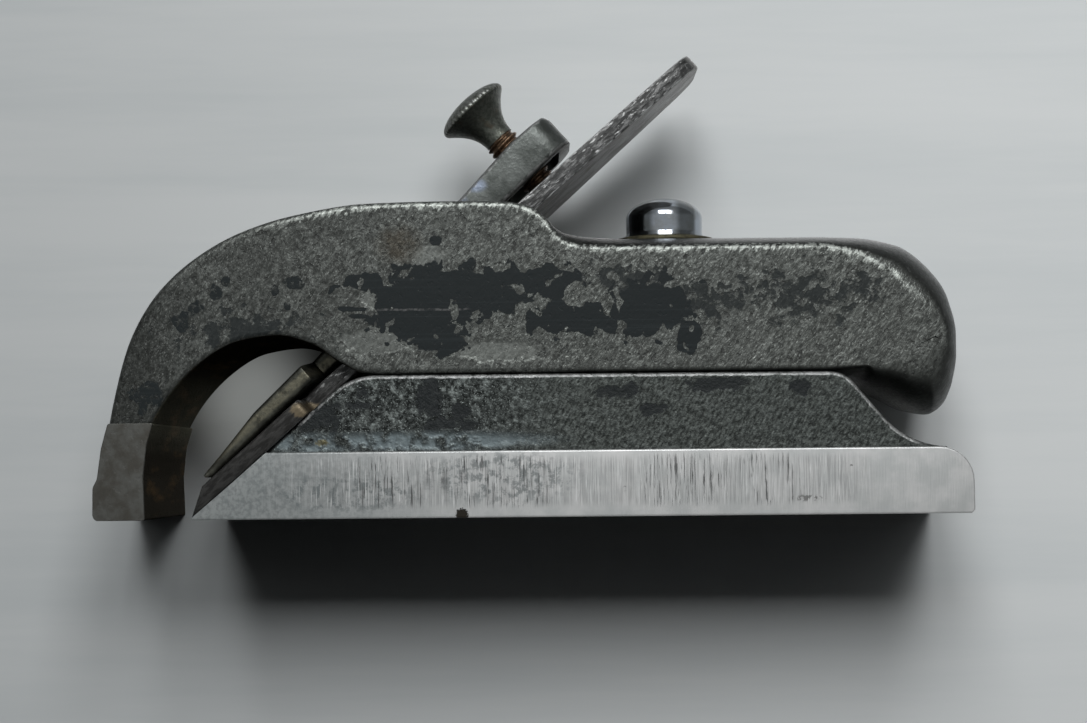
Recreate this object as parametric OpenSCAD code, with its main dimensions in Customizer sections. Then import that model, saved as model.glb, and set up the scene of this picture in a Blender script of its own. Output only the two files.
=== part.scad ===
// Bullnose rebate plane: two iron castings, a bevel-up cutter, a lever cap and two screws.
// Millimetres. +X runs from the nose to the heel, +Z is up, the sole lies on Z = 0.

/* [Body] */
// Length of the sole from the nose to the heel
body_length = 101.6; // [98:0.1:115]
// Width across the ground side bands
sole_width = 25.4; // [24.8:0.1:32]
// Width of the castings above the bands
casting_width = 24.4; // [23:0.1:24.6]
// Height of the plane where the two castings meet
joint_height = 16.6; // [15.6:0.1:17.4]
// Rounding of the handle's lower edges
edge_round = 0.7; // [0.4:0.1:1]

/* [Nose and arch] */
// Thickness of the nose at the sole
nose_length = 6; // [5:0.1:7]
// Height of the ground band round the nose
nose_band_height = 11.2; // [9.5:0.1:11.6]
// Height of the top of the arch
arch_height = 36.8; // [36:0.1:40]
// Height of the roof of the throat
throat_height = 21.2; // [20.4:0.1:22.4]
// Distance from the nose to the step behind the arch
step_distance = 53; // [52:0.1:55]

/* [Handle and tail] */
// Height of the crown of the handle
handle_height = 33.1; // [32.6:0.1:34]
// Fall from the crown to the flat side of the handle
crown_drop = 2.2; // [1.6:0.1:3]
// Height of the lowest point of the tail
tail_height = 11.7; // [11:0.1:12.4]

/* [Sole casting] */
// Height of the ground side bands
band_height = 7.7; // [6:0.1:8.5]
// Radius of the heel at the top of the band
heel_radius = 4; // [2:0.1:5.5]
// Chamfer of the sole's edge at the heel
heel_chamfer = 0.3; // [0.1:0.1:0.6]
// Distance from the heel back to the top of the rear slope
slope_setback = 14.7; // [13.5:0.1:16]
// Angle of the rear slope
slope_angle = 50; // [44:1:56]
// Radius where the rear slope runs out on the band
slope_radius = 10; // [6:0.5:12]
// Width of the guide tongue between the castings
tongue_width = 10; // [9:0.1:12]
// Height of the guide tongue
tongue_height = 2.2; // [1.5:0.1:3]
// Length of the guide tongue
tongue_length = 44; // [30:1:46]
// Distance from the heel to the rear end of the tongue
tongue_setback = 17.6; // [17:0.1:20]

/* [Cutter] */
// Angle of the cutter bed
bed_angle = 42; // [41:0.5:43]
// Gap of the mouth along the sole
mouth_gap = 5.4; // [4.6:0.1:6]
// Height of the cutting edge over the sole
edge_height = 0.1; // [0.05:0.05:0.3]
// Thickness of the cutter
cutter_thickness = 2; // [1.6:0.1:2.4]
// Length of the cutter from the edge to the end of the tang
cutter_length = 80.5; // [74:0.5:84]
// Length of the wide part of the cutter
blade_length = 18.3; // [16:0.1:19]
// Width of the tang
tang_width = 18.5; // [16:0.1:19]
// Width of the tang at its end
tang_end_width = 11.8; // [9:0.1:15]
// Distance from the edge to where the tang starts to taper
taper_start = 56; // [50:0.5:60]
// Radius of the corners at the end of the tang
tang_corner = 3.4; // [2:0.1:4]
// Radius in the corners behind the shoulders
shoulder_radius = 1.2; // [0.6:0.1:1.6]
// Angle of the ground bevel
bevel_angle = 30; // [25:1:35]

/* [Lever cap] */
// Distance from the cutting edge to the nose of the cap
cap_setback = 4.3; // [3.8:0.1:5]
// Length of the cap
cap_length = 58.5; // [56:0.1:60]
// Length of the cap's wide nose
cap_nose_length = 17.7; // [15:0.1:18]
// Width of the cap's nose
cap_nose_width = 24; // [20:0.1:24.4]
// Width of the cap's shank
cap_shank_width = 12.8; // [11:0.1:14]
// Rise of the cap's top over the cutter at the shoulders
cap_shoulder_rise = 2.8; // [2.5:0.1:3]
// Rise of the cap's top over the cutter at the thumbscrew
cap_tail_rise = 6.3; // [5.6:0.1:6.4]
// Gap between the cutter and the cap's tail
cap_tail_gap = 1.75; // [1.6:0.05:2]
// Radius of the bead that the cap's nose bears on
bead_radius = 0.6; // [0.4:0.05:0.7]
// Radius of the corners of the cap's tail
cap_corner = 3.2; // [2:0.1:5]
// Width of the rim round the hollow under the cap's tail
cap_rim = 1.8; // [1.4:0.1:2.4]
// Depth of the hollow under the cap's tail
cap_hollow = 1.1; // [0.6:0.1:1.5]

/* [Thumbscrew] */
// Distance from the cutting edge to the thumbscrew
screw_distance = 57.1; // [56:0.1:57.6]
// Diameter of the thumbscrew's thread
stud_diameter = 4.2; // [3.6:0.1:4.8]
// Pitch of the thumbscrew's thread
stud_pitch = 0.8; // [0.6:0.05:1]
// Gap between the cap and the head, where the thread shows
stud_bare = 2; // [0.8:0.1:2.4]
// Diameter of the rim of the head
head_diameter = 9.3; // [8:0.1:11]
// Diameter of the neck of the head
neck_diameter = 3.8; // [3.4:0.1:4.4]
// Height of the head
head_height = 6.4; // [5.5:0.1:8]
// Height of the knurled rim
rim_height = 1; // [0.7:0.1:1.5]
// Height of the dome over the rim
rim_dome = 0.9; // [0.4:0.1:1.4]

/* [Clamp] */
// Distance from the nose to the clamp screw
clamp_distance = 67; // [65:0.1:69]
// Diameter of the clamp screw's shank
clamp_shank = 5.6; // [5:0.1:6]
// Height over the sole of the clamp screw's end
clamp_end = 6; // [5:0.1:9]
// Diameter of the clamp screw's head
clamp_head = 9.3; // [8:0.1:11]
// Height of the straight side of the clamp screw's head
clamp_side = 2.5; // [1.5:0.1:3]
// Height of the dome of the clamp screw's head
clamp_dome = 2.5; // [1.5:0.1:3]
// Width of the driver slot in the clamp screw
driver_slot = 1.2; // [0.8:0.1:1.6]
// Depth of the driver slot below the top of the dome
driver_depth = 1.6; // [1:0.1:2]
// Diameter of the clamp washer
washer_diameter = 12.6; // [11:0.1:14]
// Thickness of the clamp washer
washer_thickness = 0.8; // [0.5:0.1:1.2]
// Length of the slot in the handle for the clamp screw
clamp_slot = 10; // [9:0.1:10.5]
// Depth of the flat under the washer below the handle's crown
pad_depth = 0.6; // [0.5:0.05:0.9]

/* [Fits] */
// How far the upper casting opens the mouth
mouth_open = 2; // [1:0.1:2]
// How far the upper casting closes the mouth
mouth_close = 0.4; // [0.2:0.1:0.4]
// Gap between pieces that rest face to face
face_gap = 0.04; // [0.02:0.01:0.06]
// Depth by which the handle stands back from the arch
relief = 0.05; // [0.03:0.01:0.1]
// Gap round turning and threaded pieces
turn_gap = 0.06; // [0.04:0.01:0.1]
// Gap beside the guide tongue
tongue_gap = 0.1; // [0.05:0.01:0.2]
// Gap behind the cutter when the mouth is fully open
back_gap = 0.25; // [0.15:0.05:0.4]
// Gap at each side of the tang in its slot
tang_gap = 0.35; // [0.2:0.05:0.5]
// Gap at each side of the cap's shank in its slot
shank_gap = 0.5; // [0.3:0.05:0.7]
// Gap at each side of the clamp screw in its slot
clamp_gap = 0.2; // [0.1:0.05:0.3]
// Room round the washer on its flat
pad_room = 0.4; // [0.3:0.05:0.6]
// Gap between the fulcrum lip and the cap
lip_gap = 0.35; // [0.3:0.05:0.4]
// Depth of the slot wall behind the fulcrum lip
lip_height = 0.9; // [0.7:0.05:1.1]
// Radius of the fulcrum lip
lip_radius = 2; // [1.5:0.1:2.4]
// Distance from the cutting edge to the fulcrum lip
lip_distance = 40; // [38:0.1:41]

/* [Hidden] */
$fn = 64;
cut = 1;

// Stations along the body, measured from the nose and from the heel
nose_x = -body_length / 2;
heel_x = body_length / 2;
clamp_x = nose_x + clamp_distance;

// The cutting edge, and the wedge of space behind the cutter that lets the mouth open
edge_x = nose_x + nose_length + mouth_gap;
rear_gap = mouth_open * sin(bed_angle) + back_gap;
front_gap = lip_gap + lip_height;
cap_end = cap_setback + cap_length;
pad_height = handle_height - pad_depth;
sole_top = joint_height - face_gap;
slot_reach = 75;

// Bed plane at a height over the sole
function bed_x(z) = edge_x + (z - edge_height) / tan(bed_angle) + face_gap / sin(bed_angle);

// Rise of the cap's top over the cutter at a distance from the edge
cap_slope = (cap_tail_rise - cap_shoulder_rise) / (screw_distance - cap_setback - cap_nose_length);
function cap_top(u) = cap_shoulder_rise + (u - cap_setback - cap_nose_length) * cap_slope;

// Gap under the cap, which opens evenly from the bead to the tail
bead_u = cap_setback + bead_radius;
bead_v = cutter_thickness + face_gap + bead_radius;
function cap_under(u) = 2 * face_gap + cap_tail_gap * (u - bead_u) / (cap_end - bead_u);

// Points given over the cutter's upper face
function lifted(points) = [for (p = points) [p[0], p[1] + cutter_thickness]];

// Points on an arc, from one angle to another
function arc(x, z, r, from, to, steps = 10) =
  [for (i = [0:steps]) let (a = from + (to - from) * i / steps) [x + r * cos(a), z + r * sin(a)]];

// Smooth curve through rows of values, paced by the distance between their first two values.
// The slope at a row is the harmonic mean of its neighbours', so the curve never overshoots a row.
function pace(a, b) = max(norm([b[0] - a[0], b[1] - a[1]]), 0.01);
function slope(rows, i) = (rows[i + 1] - rows[i]) / pace(rows[i], rows[i + 1]);
function mean(p, q) = p * q <= 0 ? 0 : 2 * p * q / (p + q);
function lean(rows, i) =
  i == 0 ? slope(rows, 0) :
  i == len(rows) - 1 ? slope(rows, i - 1) :
  [for (c = [0:len(rows[i]) - 1]) mean(slope(rows, i - 1)[c], slope(rows, i)[c])];
function between(rows, i, t) =
  let (h = pace(rows[i], rows[i + 1]), s = t * t * (3 - 2 * t))
  rows[i] * (1 - s) + rows[i + 1] * s
  + lean(rows, i) * h * t * (1 - t) * (1 - t) - lean(rows, i + 1) * h * t * t * (1 - t);
function smooth(rows, steps) = concat(
  [for (i = [0:len(rows) - 2], k = [0:steps - 1]) between(rows, i, k / steps)], [rows[len(rows) - 1]]);

// Side view of the arch: over the top from the nose to the step, then back through the throat
step_x = nose_x + step_distance;
throat_x = nose_x + nose_length;
bed_top = bed_x(joint_height);
flat_height = handle_height - crown_drop;
arch_top = [
  [nose_x + 0.7, 0.3], [nose_x + 0.5, 4.6], [nose_x + 1.2, 8.3], [nose_x + 2.3, arch_height - 22.6],
  [nose_x + 3.8, arch_height - 16.8], [nose_x + 6.3, arch_height - 11.8],
  [nose_x + 10.5, arch_height - 7.3], [nose_x + 16.6, arch_height - 3.6],
  [nose_x + 23.2, arch_height - 1.5], [nose_x + 31.7, arch_height - 0.2], [nose_x + 41.5, arch_height],
  [step_x - 5.5, arch_height - 0.1], [step_x - 2.4, arch_height - 0.7], [step_x - 0.4, arch_height - 2.1],
  [step_x + 0.5, flat_height + 2.2], [step_x + 1.9, flat_height + 0.5], [step_x + 5, flat_height]
];
throat = [
  [bed_top + 3.6, joint_height], [bed_top + 1.2, joint_height + 0.3], [bed_top - 1.4, throat_height - 3.1],
  [bed_top - 4.6, throat_height - 1], [throat_x + 15.2, throat_height], [throat_x + 10.8, throat_height - 0.6],
  [throat_x + 6.3, throat_height - 3.1], [throat_x + 1.6, throat_height - 8.5], [throat_x - 0.05, 8.7],
  [throat_x - 0.4, 5], [throat_x - 0.25, 0.3]
];

// Handle and tail. A row holds the outline at mid width, the step from there to the edge of the
// flat side, and the depth of the rounding between them. The handle stands back a little from
// the arch, at its sides and at the joint.
crown = casting_width / 2 - 0.6;
handle_front = step_x - 4;
handle_foot = joint_height + relief;
tail = [
  [handle_front, handle_height, 0, -crown_drop, crown],
  [heel_x - 17.6, handle_height, -0.4, -crown_drop, crown],
  [heel_x - 12.2, handle_height - 0.1, -1.5, -crown_drop - 0.5, crown],
  [heel_x - 7.2, handle_height - 0.9, -3.2, -crown_drop - 1.3, crown],
  [heel_x - 3.4, handle_height - 3.5, -3.9, -crown_drop - 1.3, crown],
  [heel_x - 0.9, handle_height - 7.4, -3.7, -crown_drop - 0.3, crown],
  [heel_x - 0.1, handle_height - 12.1, -3.2, 0.1, crown],
  [heel_x - 0.1, tail_height + 6.3, -3.3, 2.1, crown],
  [heel_x - 0.5, tail_height + 3.5, -3.7, 4.2, crown],
  [heel_x - 1.3, tail_height + 1.3, -3.7, 5.9, crown],
  [heel_x - 3, tail_height, -3.2, 6.7, crown],
  [heel_x - 5.4, tail_height + 0.4, -1.9, 5.8, crown],
  [heel_x - 8.2, tail_height + 1.8, -1, 4, crown],
  [heel_x - 11, joint_height - 1.4, -0.3, 2, 8],
  [heel_x - 12.2, handle_foot, 0, 0.6, 3],
  [heel_x - 17, handle_foot, 0, 0.6, edge_round],
  [handle_front, handle_foot, 0, 0.6, edge_round]
];

// Ground band round the nose, a little proud of the rough casting
nose_points = [
  [nose_x + 0.4, 0], [nose_x, 0.6], [nose_x, 3.8], [nose_x + 0.5, 4.8], [nose_x + 0.95, 8.3],
  [nose_x + 1.7, nose_band_height], [nose_x + nose_length + 0.95, nose_band_height],
  [nose_x + nose_length + 0.2, 8.7], [nose_x + nose_length - 0.2, 5], [nose_x + nose_length, 0]
];

// Rear slope of the sole casting: a straight fall, then a hollow that runs out on the band
slope_x = heel_x - slope_setback;
slope_end_z = band_height + slope_radius * (1 - cos(slope_angle));
slope_end_x = slope_x + (sole_top - slope_end_z) / tan(slope_angle);
slope_arc_x = slope_end_x + slope_radius * sin(slope_angle);

// Solid with a side view in X and Z and an even width across Y
module slab(width) {
  rotate([90, 0, 0]) linear_extrude(width, center = true) children();
}

// Frame of the cutter: X along the cutter from its edge, Z out of its lower face
module along_cutter() {
  translate([edge_x, 0, edge_height]) rotate([0, -bed_angle, 0]) children();
}

// Solid between two flat sides, whose edges round over from each side to the outline at mid width.
// Each side is a fan of triangles round its middle.
module rounded_casting(ring, half_width, turns = 4) {
  n = len(ring);
  m = 2 * (turns + 1);
  middle = [for (r = ring) 1 / n] * [for (r = ring) [r[0] + r[2], r[1] + r[3]]];
  points = concat(
    [
      for (r = ring, side = [-1, 1], k = [0:turns])
      let (a = 90 * (side < 0 ? k : turns - k) / turns)
      [r[0] + r[2] * (1 - sin(a)), side * (half_width - r[4] * (1 - cos(a))), r[1] + r[3] * (1 - sin(a))]
    ],
    [for (side = [-1, 1]) [middle[0], side * half_width, middle[1]]]
  );
  function at(i, k) = (i % n) * m + k;
  polyhedron(points, concat(
    [for (i = [0:n - 1], k = [0:m - 2]) [at(i, k), at(i, k + 1), at(i + 1, k + 1)]],
    [for (i = [0:n - 1], k = [0:m - 2]) [at(i, k), at(i + 1, k + 1), at(i + 1, k)]],
    [for (i = [0:n - 1]) [n * m, at(i, 0), at(i + 1, 0)]],
    [for (i = [0:n - 1]) [n * m + 1, at(i + 1, m - 1), at(i, m - 1)]]
  ));
}

// Straight slot with round ends, along X
module long_slot(length, width, height) {
  translate([-(length - width) / 2, -width / 2, 0]) cube([length - width, width, height]);
  for (side = [-1, 1]) {
    translate([side * (length - width) / 2, 0, 0]) cylinder(d = width, h = height);
  }
}

module top_casting() color("dimgray") {
  difference() {
    union() {
      slab(casting_width) polygon(concat(smooth(arch_top, 3), [[step_x + 5, joint_height]], smooth(throat, 3)));
      slab(sole_width) polygon(nose_points);
      rounded_casting(smooth(tail, 2), casting_width / 2 - relief);
    }
    along_cutter() {
      translate([blade_length, -tang_width / 2 - tang_gap, -rear_gap])
        cube([slot_reach, tang_width + 2 * tang_gap, rear_gap + cutter_thickness + front_gap]);
      slab(cap_shank_width + 2 * shank_gap) polygon([
        [blade_length, cutter_thickness],
        [slot_reach, cutter_thickness],
        [slot_reach, cutter_thickness + cap_top(slot_reach) + front_gap],
        [blade_length, cutter_thickness + cap_top(blade_length) + front_gap]
      ]);
    }
    translate([clamp_x, 0, joint_height - cut]) long_slot(clamp_slot, clamp_shank + 2 * clamp_gap, handle_height);
    translate([clamp_x, 0, pad_height])
      long_slot(washer_diameter + 2 * (mouth_open + pad_room), washer_diameter + 2 * pad_room, handle_height);
    translate([heel_x - tongue_setback - tongue_length - mouth_close - 2 * tongue_gap, 0, 0])
      translate([0, -tongue_width / 2 - tongue_gap, joint_height - cut])
      cube([
        tongue_length + mouth_open + mouth_close + 4 * tongue_gap,
        tongue_width + 2 * tongue_gap,
        cut + tongue_height + tongue_gap
      ]);
  }
  along_cutter()
    translate([lip_distance, 0, cutter_thickness + cap_top(lip_distance) + lip_gap + lip_radius])
    rotate([90, 0, 0]) cylinder(r = lip_radius, h = cap_shank_width + 2 * shank_gap + 1, center = true);
}

module sole_casting() color("gray") {
  difference() {
    union() {
      slab(casting_width) polygon(concat(
        [[bed_x(band_height - cut), band_height - cut], [bed_x(sole_top), sole_top], [slope_x, sole_top]],
        arc(slope_arc_x, band_height + slope_radius, slope_radius, 270 - slope_angle, 268),
        [[slope_arc_x, band_height - cut]]
      ));
      slab(sole_width) polygon(concat(
        [[bed_x(0), 0], [bed_x(band_height), band_height]],
        arc(heel_x - heel_radius, band_height - heel_radius, heel_radius, 90, 0),
        [[heel_x, heel_chamfer], [heel_x - heel_chamfer, 0]]
      ));
      translate([heel_x - tongue_setback - tongue_length, -tongue_width / 2, band_height])
        cube([tongue_length, tongue_width, joint_height + tongue_height - band_height]);
    }
    translate([clamp_x, 0, clamp_end - turn_gap])
      cylinder(d = clamp_shank + 2 * turn_gap, h = joint_height);
  }
}

module cutter() color("slategray") along_cutter() {
  half_tang = tang_width / 2;
  half_end = tang_end_width / 2;
  half_side = concat(
    [[0, sole_width / 2], [blade_length, sole_width / 2]],
    arc(blade_length + shoulder_radius, half_tang + shoulder_radius, shoulder_radius, 180, 270, 4),
    [[taper_start, half_tang]],
    arc(cutter_length - tang_corner, half_end - tang_corner, tang_corner, 75, 0)
  );
  other_side = [for (i = [len(half_side) - 1:-1:0]) [half_side[i][0], -half_side[i][1]]];
  difference() {
    linear_extrude(cutter_thickness) polygon(concat(half_side, other_side));
    slab(sole_width + cut) polygon([
      [-cut, -cut * tan(bevel_angle)], [-cut, cutter_thickness + cut],
      [(cutter_thickness + cut) / tan(bevel_angle), cutter_thickness + cut]
    ]);
  }
}

module lever_cap() color("darkslategray") along_cutter() {
  shoulder_u = cap_setback + cap_nose_length;
  // The cap's top, from the thin nose over the pad to the shoulders
  nose_top = [
    [cap_setback, 0.9], [cap_setback + 2.7, 1.3], [cap_setback + 9.1, cap_shoulder_rise - 0.4],
    [shoulder_u, cap_shoulder_rise]
  ];
  difference() {
    union() {
      slab(cap_nose_width) polygon(lifted(concat(
        nose_top,
        [[shoulder_u, cap_under(shoulder_u)], [bead_u, cap_under(bead_u) + 0.1], [cap_setback, 0.6]]
      )));
      intersection() {
        slab(cap_shank_width) polygon(lifted([
          [cap_setback + 9.1, cap_shoulder_rise - 0.4], [shoulder_u, cap_shoulder_rise],
          [screw_distance, cap_tail_rise], [cap_end - 0.4, cap_tail_rise - 0.1],
          [cap_end, cap_tail_rise - 0.6], [cap_end, cap_under(cap_end)],
          [cap_setback + 9.1, cap_under(cap_setback + 9.1)]
        ]));
        linear_extrude(cap_tail_rise + cutter_thickness + cut) polygon(concat(
          [[0, -cap_shank_width / 2]],
          arc(cap_end - cap_corner, cap_corner - cap_shank_width / 2, cap_corner, 270, 360),
          arc(cap_end - cap_corner, cap_shank_width / 2 - cap_corner, cap_corner, 0, 90),
          [[0, cap_shank_width / 2]]
        ));
      }
      translate([bead_u, 0, bead_v]) rotate([90, 0, 0])
        cylinder(r = bead_radius, h = cap_nose_width, center = true);
    }
    translate([screw_distance, 0, 0]) cylinder(d = stud_diameter + 2 * turn_gap, h = 3 * cap_tail_rise);
    translate([screw_distance - 8, 0, cutter_thickness])
      translate([0, cap_rim - cap_shank_width / 2, 0])
      cube([
        cap_end - cap_rim - screw_distance + 8,
        cap_shank_width - 2 * cap_rim,
        cap_under(screw_distance) + cap_hollow
      ]);
  }
}

// Place of the thumbscrew: Z = 0 on the cutter's upper face, +Z out of the cap
module at_thumbscrew() {
  along_cutter() translate([screw_distance, 0, cutter_thickness]) children();
}

module thumbscrew_head() color("darkgray") at_thumbscrew() {
  base = cap_tail_rise + stud_bare;
  flare_height = head_height - rim_height - rim_dome;
  neck = neck_diameter / 2;
  rim = head_diameter / 2;
  // A neck that flares ever faster to the rim, then a shallow dome
  flare = [for (i = [0:12]) let (t = i / 12) [neck + (rim - neck) * pow(t, 2.2), base + flare_height * t]];
  dome = [
    for (i = [0:8]) let (t = i / 8)
    [rim * cos(90 * t), base + flare_height + rim_height + rim_dome * sin(90 * t)]
  ];
  socket = stud_diameter / 2 - 0.4 + turn_gap;
  difference() {
    rotate_extrude() polygon(concat([[0, base]], flare, dome));
    translate([0, 0, base - cut]) cylinder(r = socket, h = cut + flare_height);
  }
}

module thumbscrew_stud() color("saddlebrown") at_thumbscrew() {
  base = cap_tail_rise + stud_bare;
  crest = stud_diameter / 2;
  root = crest - 0.4;
  tip = face_gap;
  turns = floor((base - tip - 1.2 * stud_pitch) / stud_pitch);
  first = base - turn_gap - turns * stud_pitch;
  // The thread as even crests and roots between a rounded tip and the pin that the head sits on
  thread = [
    for (i = [0:turns - 1], p = [[root, 0], [crest, 0.4], [crest, 0.6]]) [p[0], first + (i + p[1]) * stud_pitch]
  ];
  pin_top = base + (head_height - rim_height - rim_dome) - turn_gap - 0.2;
  rotate_extrude() polygon(concat(
    [[0, tip], [root - 0.6, tip + 0.1], [root, tip + 0.5]],
    thread,
    [[root, base - turn_gap], [root, pin_top], [0, pin_top]]
  ));
}

module clamp_screw() color("lightsteelblue") translate([clamp_x, 0, 0]) {
  seat = pad_height + 2 * face_gap + washer_thickness + face_gap;
  dome = [
    for (i = [0:10]) let (t = i / 10)
    [clamp_head / 2 * cos(90 * t), seat + clamp_side + clamp_dome * sin(90 * t)]
  ];
  difference() {
    rotate_extrude() polygon(concat(
      [[0, clamp_end], [clamp_shank / 2 - 0.5, clamp_end], [clamp_shank / 2, clamp_end + 0.5]],
      [[clamp_shank / 2, seat], [clamp_head / 2, seat]],
      dome
    ));
    translate([-clamp_head, -driver_slot / 2, seat + clamp_side + clamp_dome - driver_depth])
      cube([2 * clamp_head, driver_slot, driver_depth + cut]);
  }
}

module clamp_washer() color("darkgoldenrod") translate([clamp_x, 0, pad_height + 2 * face_gap]) {
  difference() {
    cylinder(d = washer_diameter, h = washer_thickness);
    translate([0, 0, -cut]) cylinder(d = clamp_shank + 4 * turn_gap, h = washer_thickness + 2 * cut);
  }
}

top_casting();
sole_casting();
cutter();
lever_cap();
thumbscrew_head();
thumbscrew_stud();
clamp_screw();
clamp_washer();
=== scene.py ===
# %% [markdown]
# # A bullnose rebate plane
# The frame holds eight solids at their real size: two iron castings, a cutter, a lever cap, a thumbscrew in
# two pieces, and a clamp screw with its washer. This lesson gives each of them its rounded edges, its thread
# or knurl and its worn finish, and then sets up the light and the camera. Lengths are in millimetres.

# %% Load the frame
from functools import partialmethod

import bmesh
import bpy
import numpy as np
from mathutils import Matrix, Vector


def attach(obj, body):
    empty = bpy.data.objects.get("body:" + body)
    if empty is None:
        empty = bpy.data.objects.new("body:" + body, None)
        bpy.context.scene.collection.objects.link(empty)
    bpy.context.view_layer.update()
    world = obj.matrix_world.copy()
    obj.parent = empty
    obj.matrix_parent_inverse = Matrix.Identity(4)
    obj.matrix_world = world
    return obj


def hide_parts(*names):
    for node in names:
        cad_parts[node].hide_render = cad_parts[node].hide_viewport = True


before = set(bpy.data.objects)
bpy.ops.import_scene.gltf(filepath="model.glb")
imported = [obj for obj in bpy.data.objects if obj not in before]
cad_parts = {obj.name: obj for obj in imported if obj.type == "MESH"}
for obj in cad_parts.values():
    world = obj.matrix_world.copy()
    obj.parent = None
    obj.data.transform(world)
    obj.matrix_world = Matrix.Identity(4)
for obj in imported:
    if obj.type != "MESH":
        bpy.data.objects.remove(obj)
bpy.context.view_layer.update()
MM = 0.001

# %% [markdown]
# ## Sizes that the pieces share
# A scene can't read the CAD source, so the few sizes that several pieces need are repeated here.
# X runs from the nose to the heel, Z is up, and the cutter lies on a bed at 42 degrees. A point on the
# cutter is easiest to give by its distance along the cutter and its height over the cutter's lower face.

# %% Shared sizes
NOSE_X, HEEL_X = -50.8, 50.8
SOLE_WIDTH, CASTING_WIDTH = 25.4, 24.4
JOINT_Z, BAND_Z = 16.6, 7.7
BED_ANGLE, BED_GAP = np.radians(42), 0.06
EDGE_X, EDGE_Z = -39.4, 0.1
CUTTER_LENGTH, CUTTER_THICKNESS = 80.5, 2.0
SHOULDER, SCREW_AT = 22.0, 57.1
SHANK_LOW, SHANK_HIGH = 2.8, 6.3
CLAMP_X = 16.2


def on_cutter(along, across, height):
    """Point at a distance along the cutter, across it and over its lower face: the edge, plus the
    distance turned up by the bed angle, plus the height turned the same way."""
    cosine, sine = np.cos(BED_ANGLE), np.sin(BED_ANGLE)
    along, across, height = np.broadcast_arrays(along, across, height)
    x = EDGE_X + along * cosine - height * sine
    z = EDGE_Z + along * sine + height * cosine
    return np.stack([x, across, z], axis=-1)


def bed_x(z):
    """X of the cutter bed at a height: the edge, plus the height over the tangent of the bed angle."""
    return EDGE_X + (z - EDGE_Z) / np.tan(BED_ANGLE) + BED_GAP


def cap_rise(along):
    """Height of the cap's shank over the cutter: a straight rise from the shoulders to the thumbscrew."""
    return SHANK_LOW + (along - SHOULDER) * (SHANK_HIGH - SHANK_LOW) / (SCREW_AT - SHOULDER)


print("end of the cutter:", np.round(on_cutter(CUTTER_LENGTH, 0, 0), 1))

# %% [markdown]
# ## Meshes from grids
# Each piece is a grid of points with a formula for its rows and columns. Blender gets the points and the
# faces as whole arrays. Normals are recalculated once, while each shell is still closed and simple.
# A `wear` value goes with every point, and the finishes use it to rub the edges bright.

# %% Grid helpers
def grid_faces(rows, columns, rows_close=True, columns_close=False):
    """Quads of a grid: point (i, j) joins its neighbours in the next row and the next column. Where rows
    or columns close, the last joins the first."""
    i = np.arange(rows if rows_close else rows - 1)[:, None]
    j = np.arange(columns if columns_close else columns - 1)[None, :]
    here, after, beside = i * columns, (i + 1) % rows * columns, (j + 1) % columns
    return np.stack([here + j, here + beside, after + beside, after + j], axis=-1).reshape(-1, 4).tolist()


def side_faces(rows, columns):
    """Two faces of a grid: the rings of its first and its last column."""
    first = np.arange(rows) * columns
    return [first.tolist(), (first + columns - 1).tolist()]


def put_mesh(name, points, faces, wear=None):
    """A mesh object from points in millimetres and faces, with its normals outwards."""
    mesh = bpy.data.meshes.new(name)
    mesh.from_pydata(np.asarray(points, float).reshape(-1, 3) * MM, [], faces)
    shade = np.zeros(len(mesh.vertices)) if wear is None else np.asarray(wear).ravel()
    mesh.attributes.new("wear", "FLOAT", "POINT").data.foreach_set("value", shade.astype(np.float32))
    shell = bmesh.new()
    shell.from_mesh(mesh)
    bmesh.ops.recalc_face_normals(shell, faces=shell.faces)
    shell.to_mesh(mesh)
    shell.free()
    piece = bpy.data.objects.new(name, mesh)
    bpy.context.scene.collection.objects.link(piece)
    print(name, "made:", len(mesh.vertices), "points,", len(mesh.polygons), "faces")
    return piece


def points_and_wear(mesh):
    """Points of a mesh in millimetres, rounded to a thousandth, and their wear."""
    points = np.empty(3 * len(mesh.vertices), np.float32)
    wear = np.empty(len(mesh.vertices), np.float32)
    mesh.vertices.foreach_get("co", points)
    mesh.attributes["wear"].data.foreach_get("value", wear)
    return np.round(points.reshape(-1, 3) / MM, 3), wear


def combine(piece, joined=(), cut=(), last=()):
    """Joins others to a piece, cuts others out of it and joins the last ones, by Boolean modifiers. They
    are applied and the others removed. A point that was there keeps its wear, and a new one has none."""
    others = [*joined, *cut, *last]
    places, wears = zip(*[points_and_wear(other.data) for other in (piece, *others)])
    for other in others:
        step = piece.modifiers.new(other.name, "BOOLEAN")
        step.operation = "DIFFERENCE" if other in cut else "UNION"
        step.solver = "EXACT"
        step.object = other
    made = piece.evaluated_get(bpy.context.evaluated_depsgraph_get())
    mesh = bpy.data.meshes.new_from_object(made)
    piece.modifiers.clear()
    piece.data = mesh
    found, index = np.unique(np.vstack([*places, points_and_wear(mesh)[0]]), axis=0, return_inverse=True)
    before, after = np.split(index.ravel(), [-len(mesh.vertices)])
    kept = np.zeros(len(found), np.float32)
    kept[before] = np.hstack(wears)
    mesh.attributes["wear"].data.foreach_set("value", kept[after])
    for other in others:
        bpy.data.objects.remove(other)
    shell = bmesh.new()
    shell.from_mesh(mesh)
    loose = sum(not edge.is_manifold for edge in shell.edges)
    print(piece.name, "joined:", round(shell.calc_volume() / MM ** 3, 1), "mm3,", loose, "open edges")
    shell.free()


print("faces of a ring of three rows and two columns:", grid_faces(3, 2))

# %% [markdown]
# ## Outlines
# The castings were drawn as side views. A smooth outline runs through a few rows of values as a Hermite
# curve, whose slope at a row is the harmonic mean of the slopes beside it, so that it never swings past a
# row. A plainer outline is a polygon whose corners are cut back to short parabolas.

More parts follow.
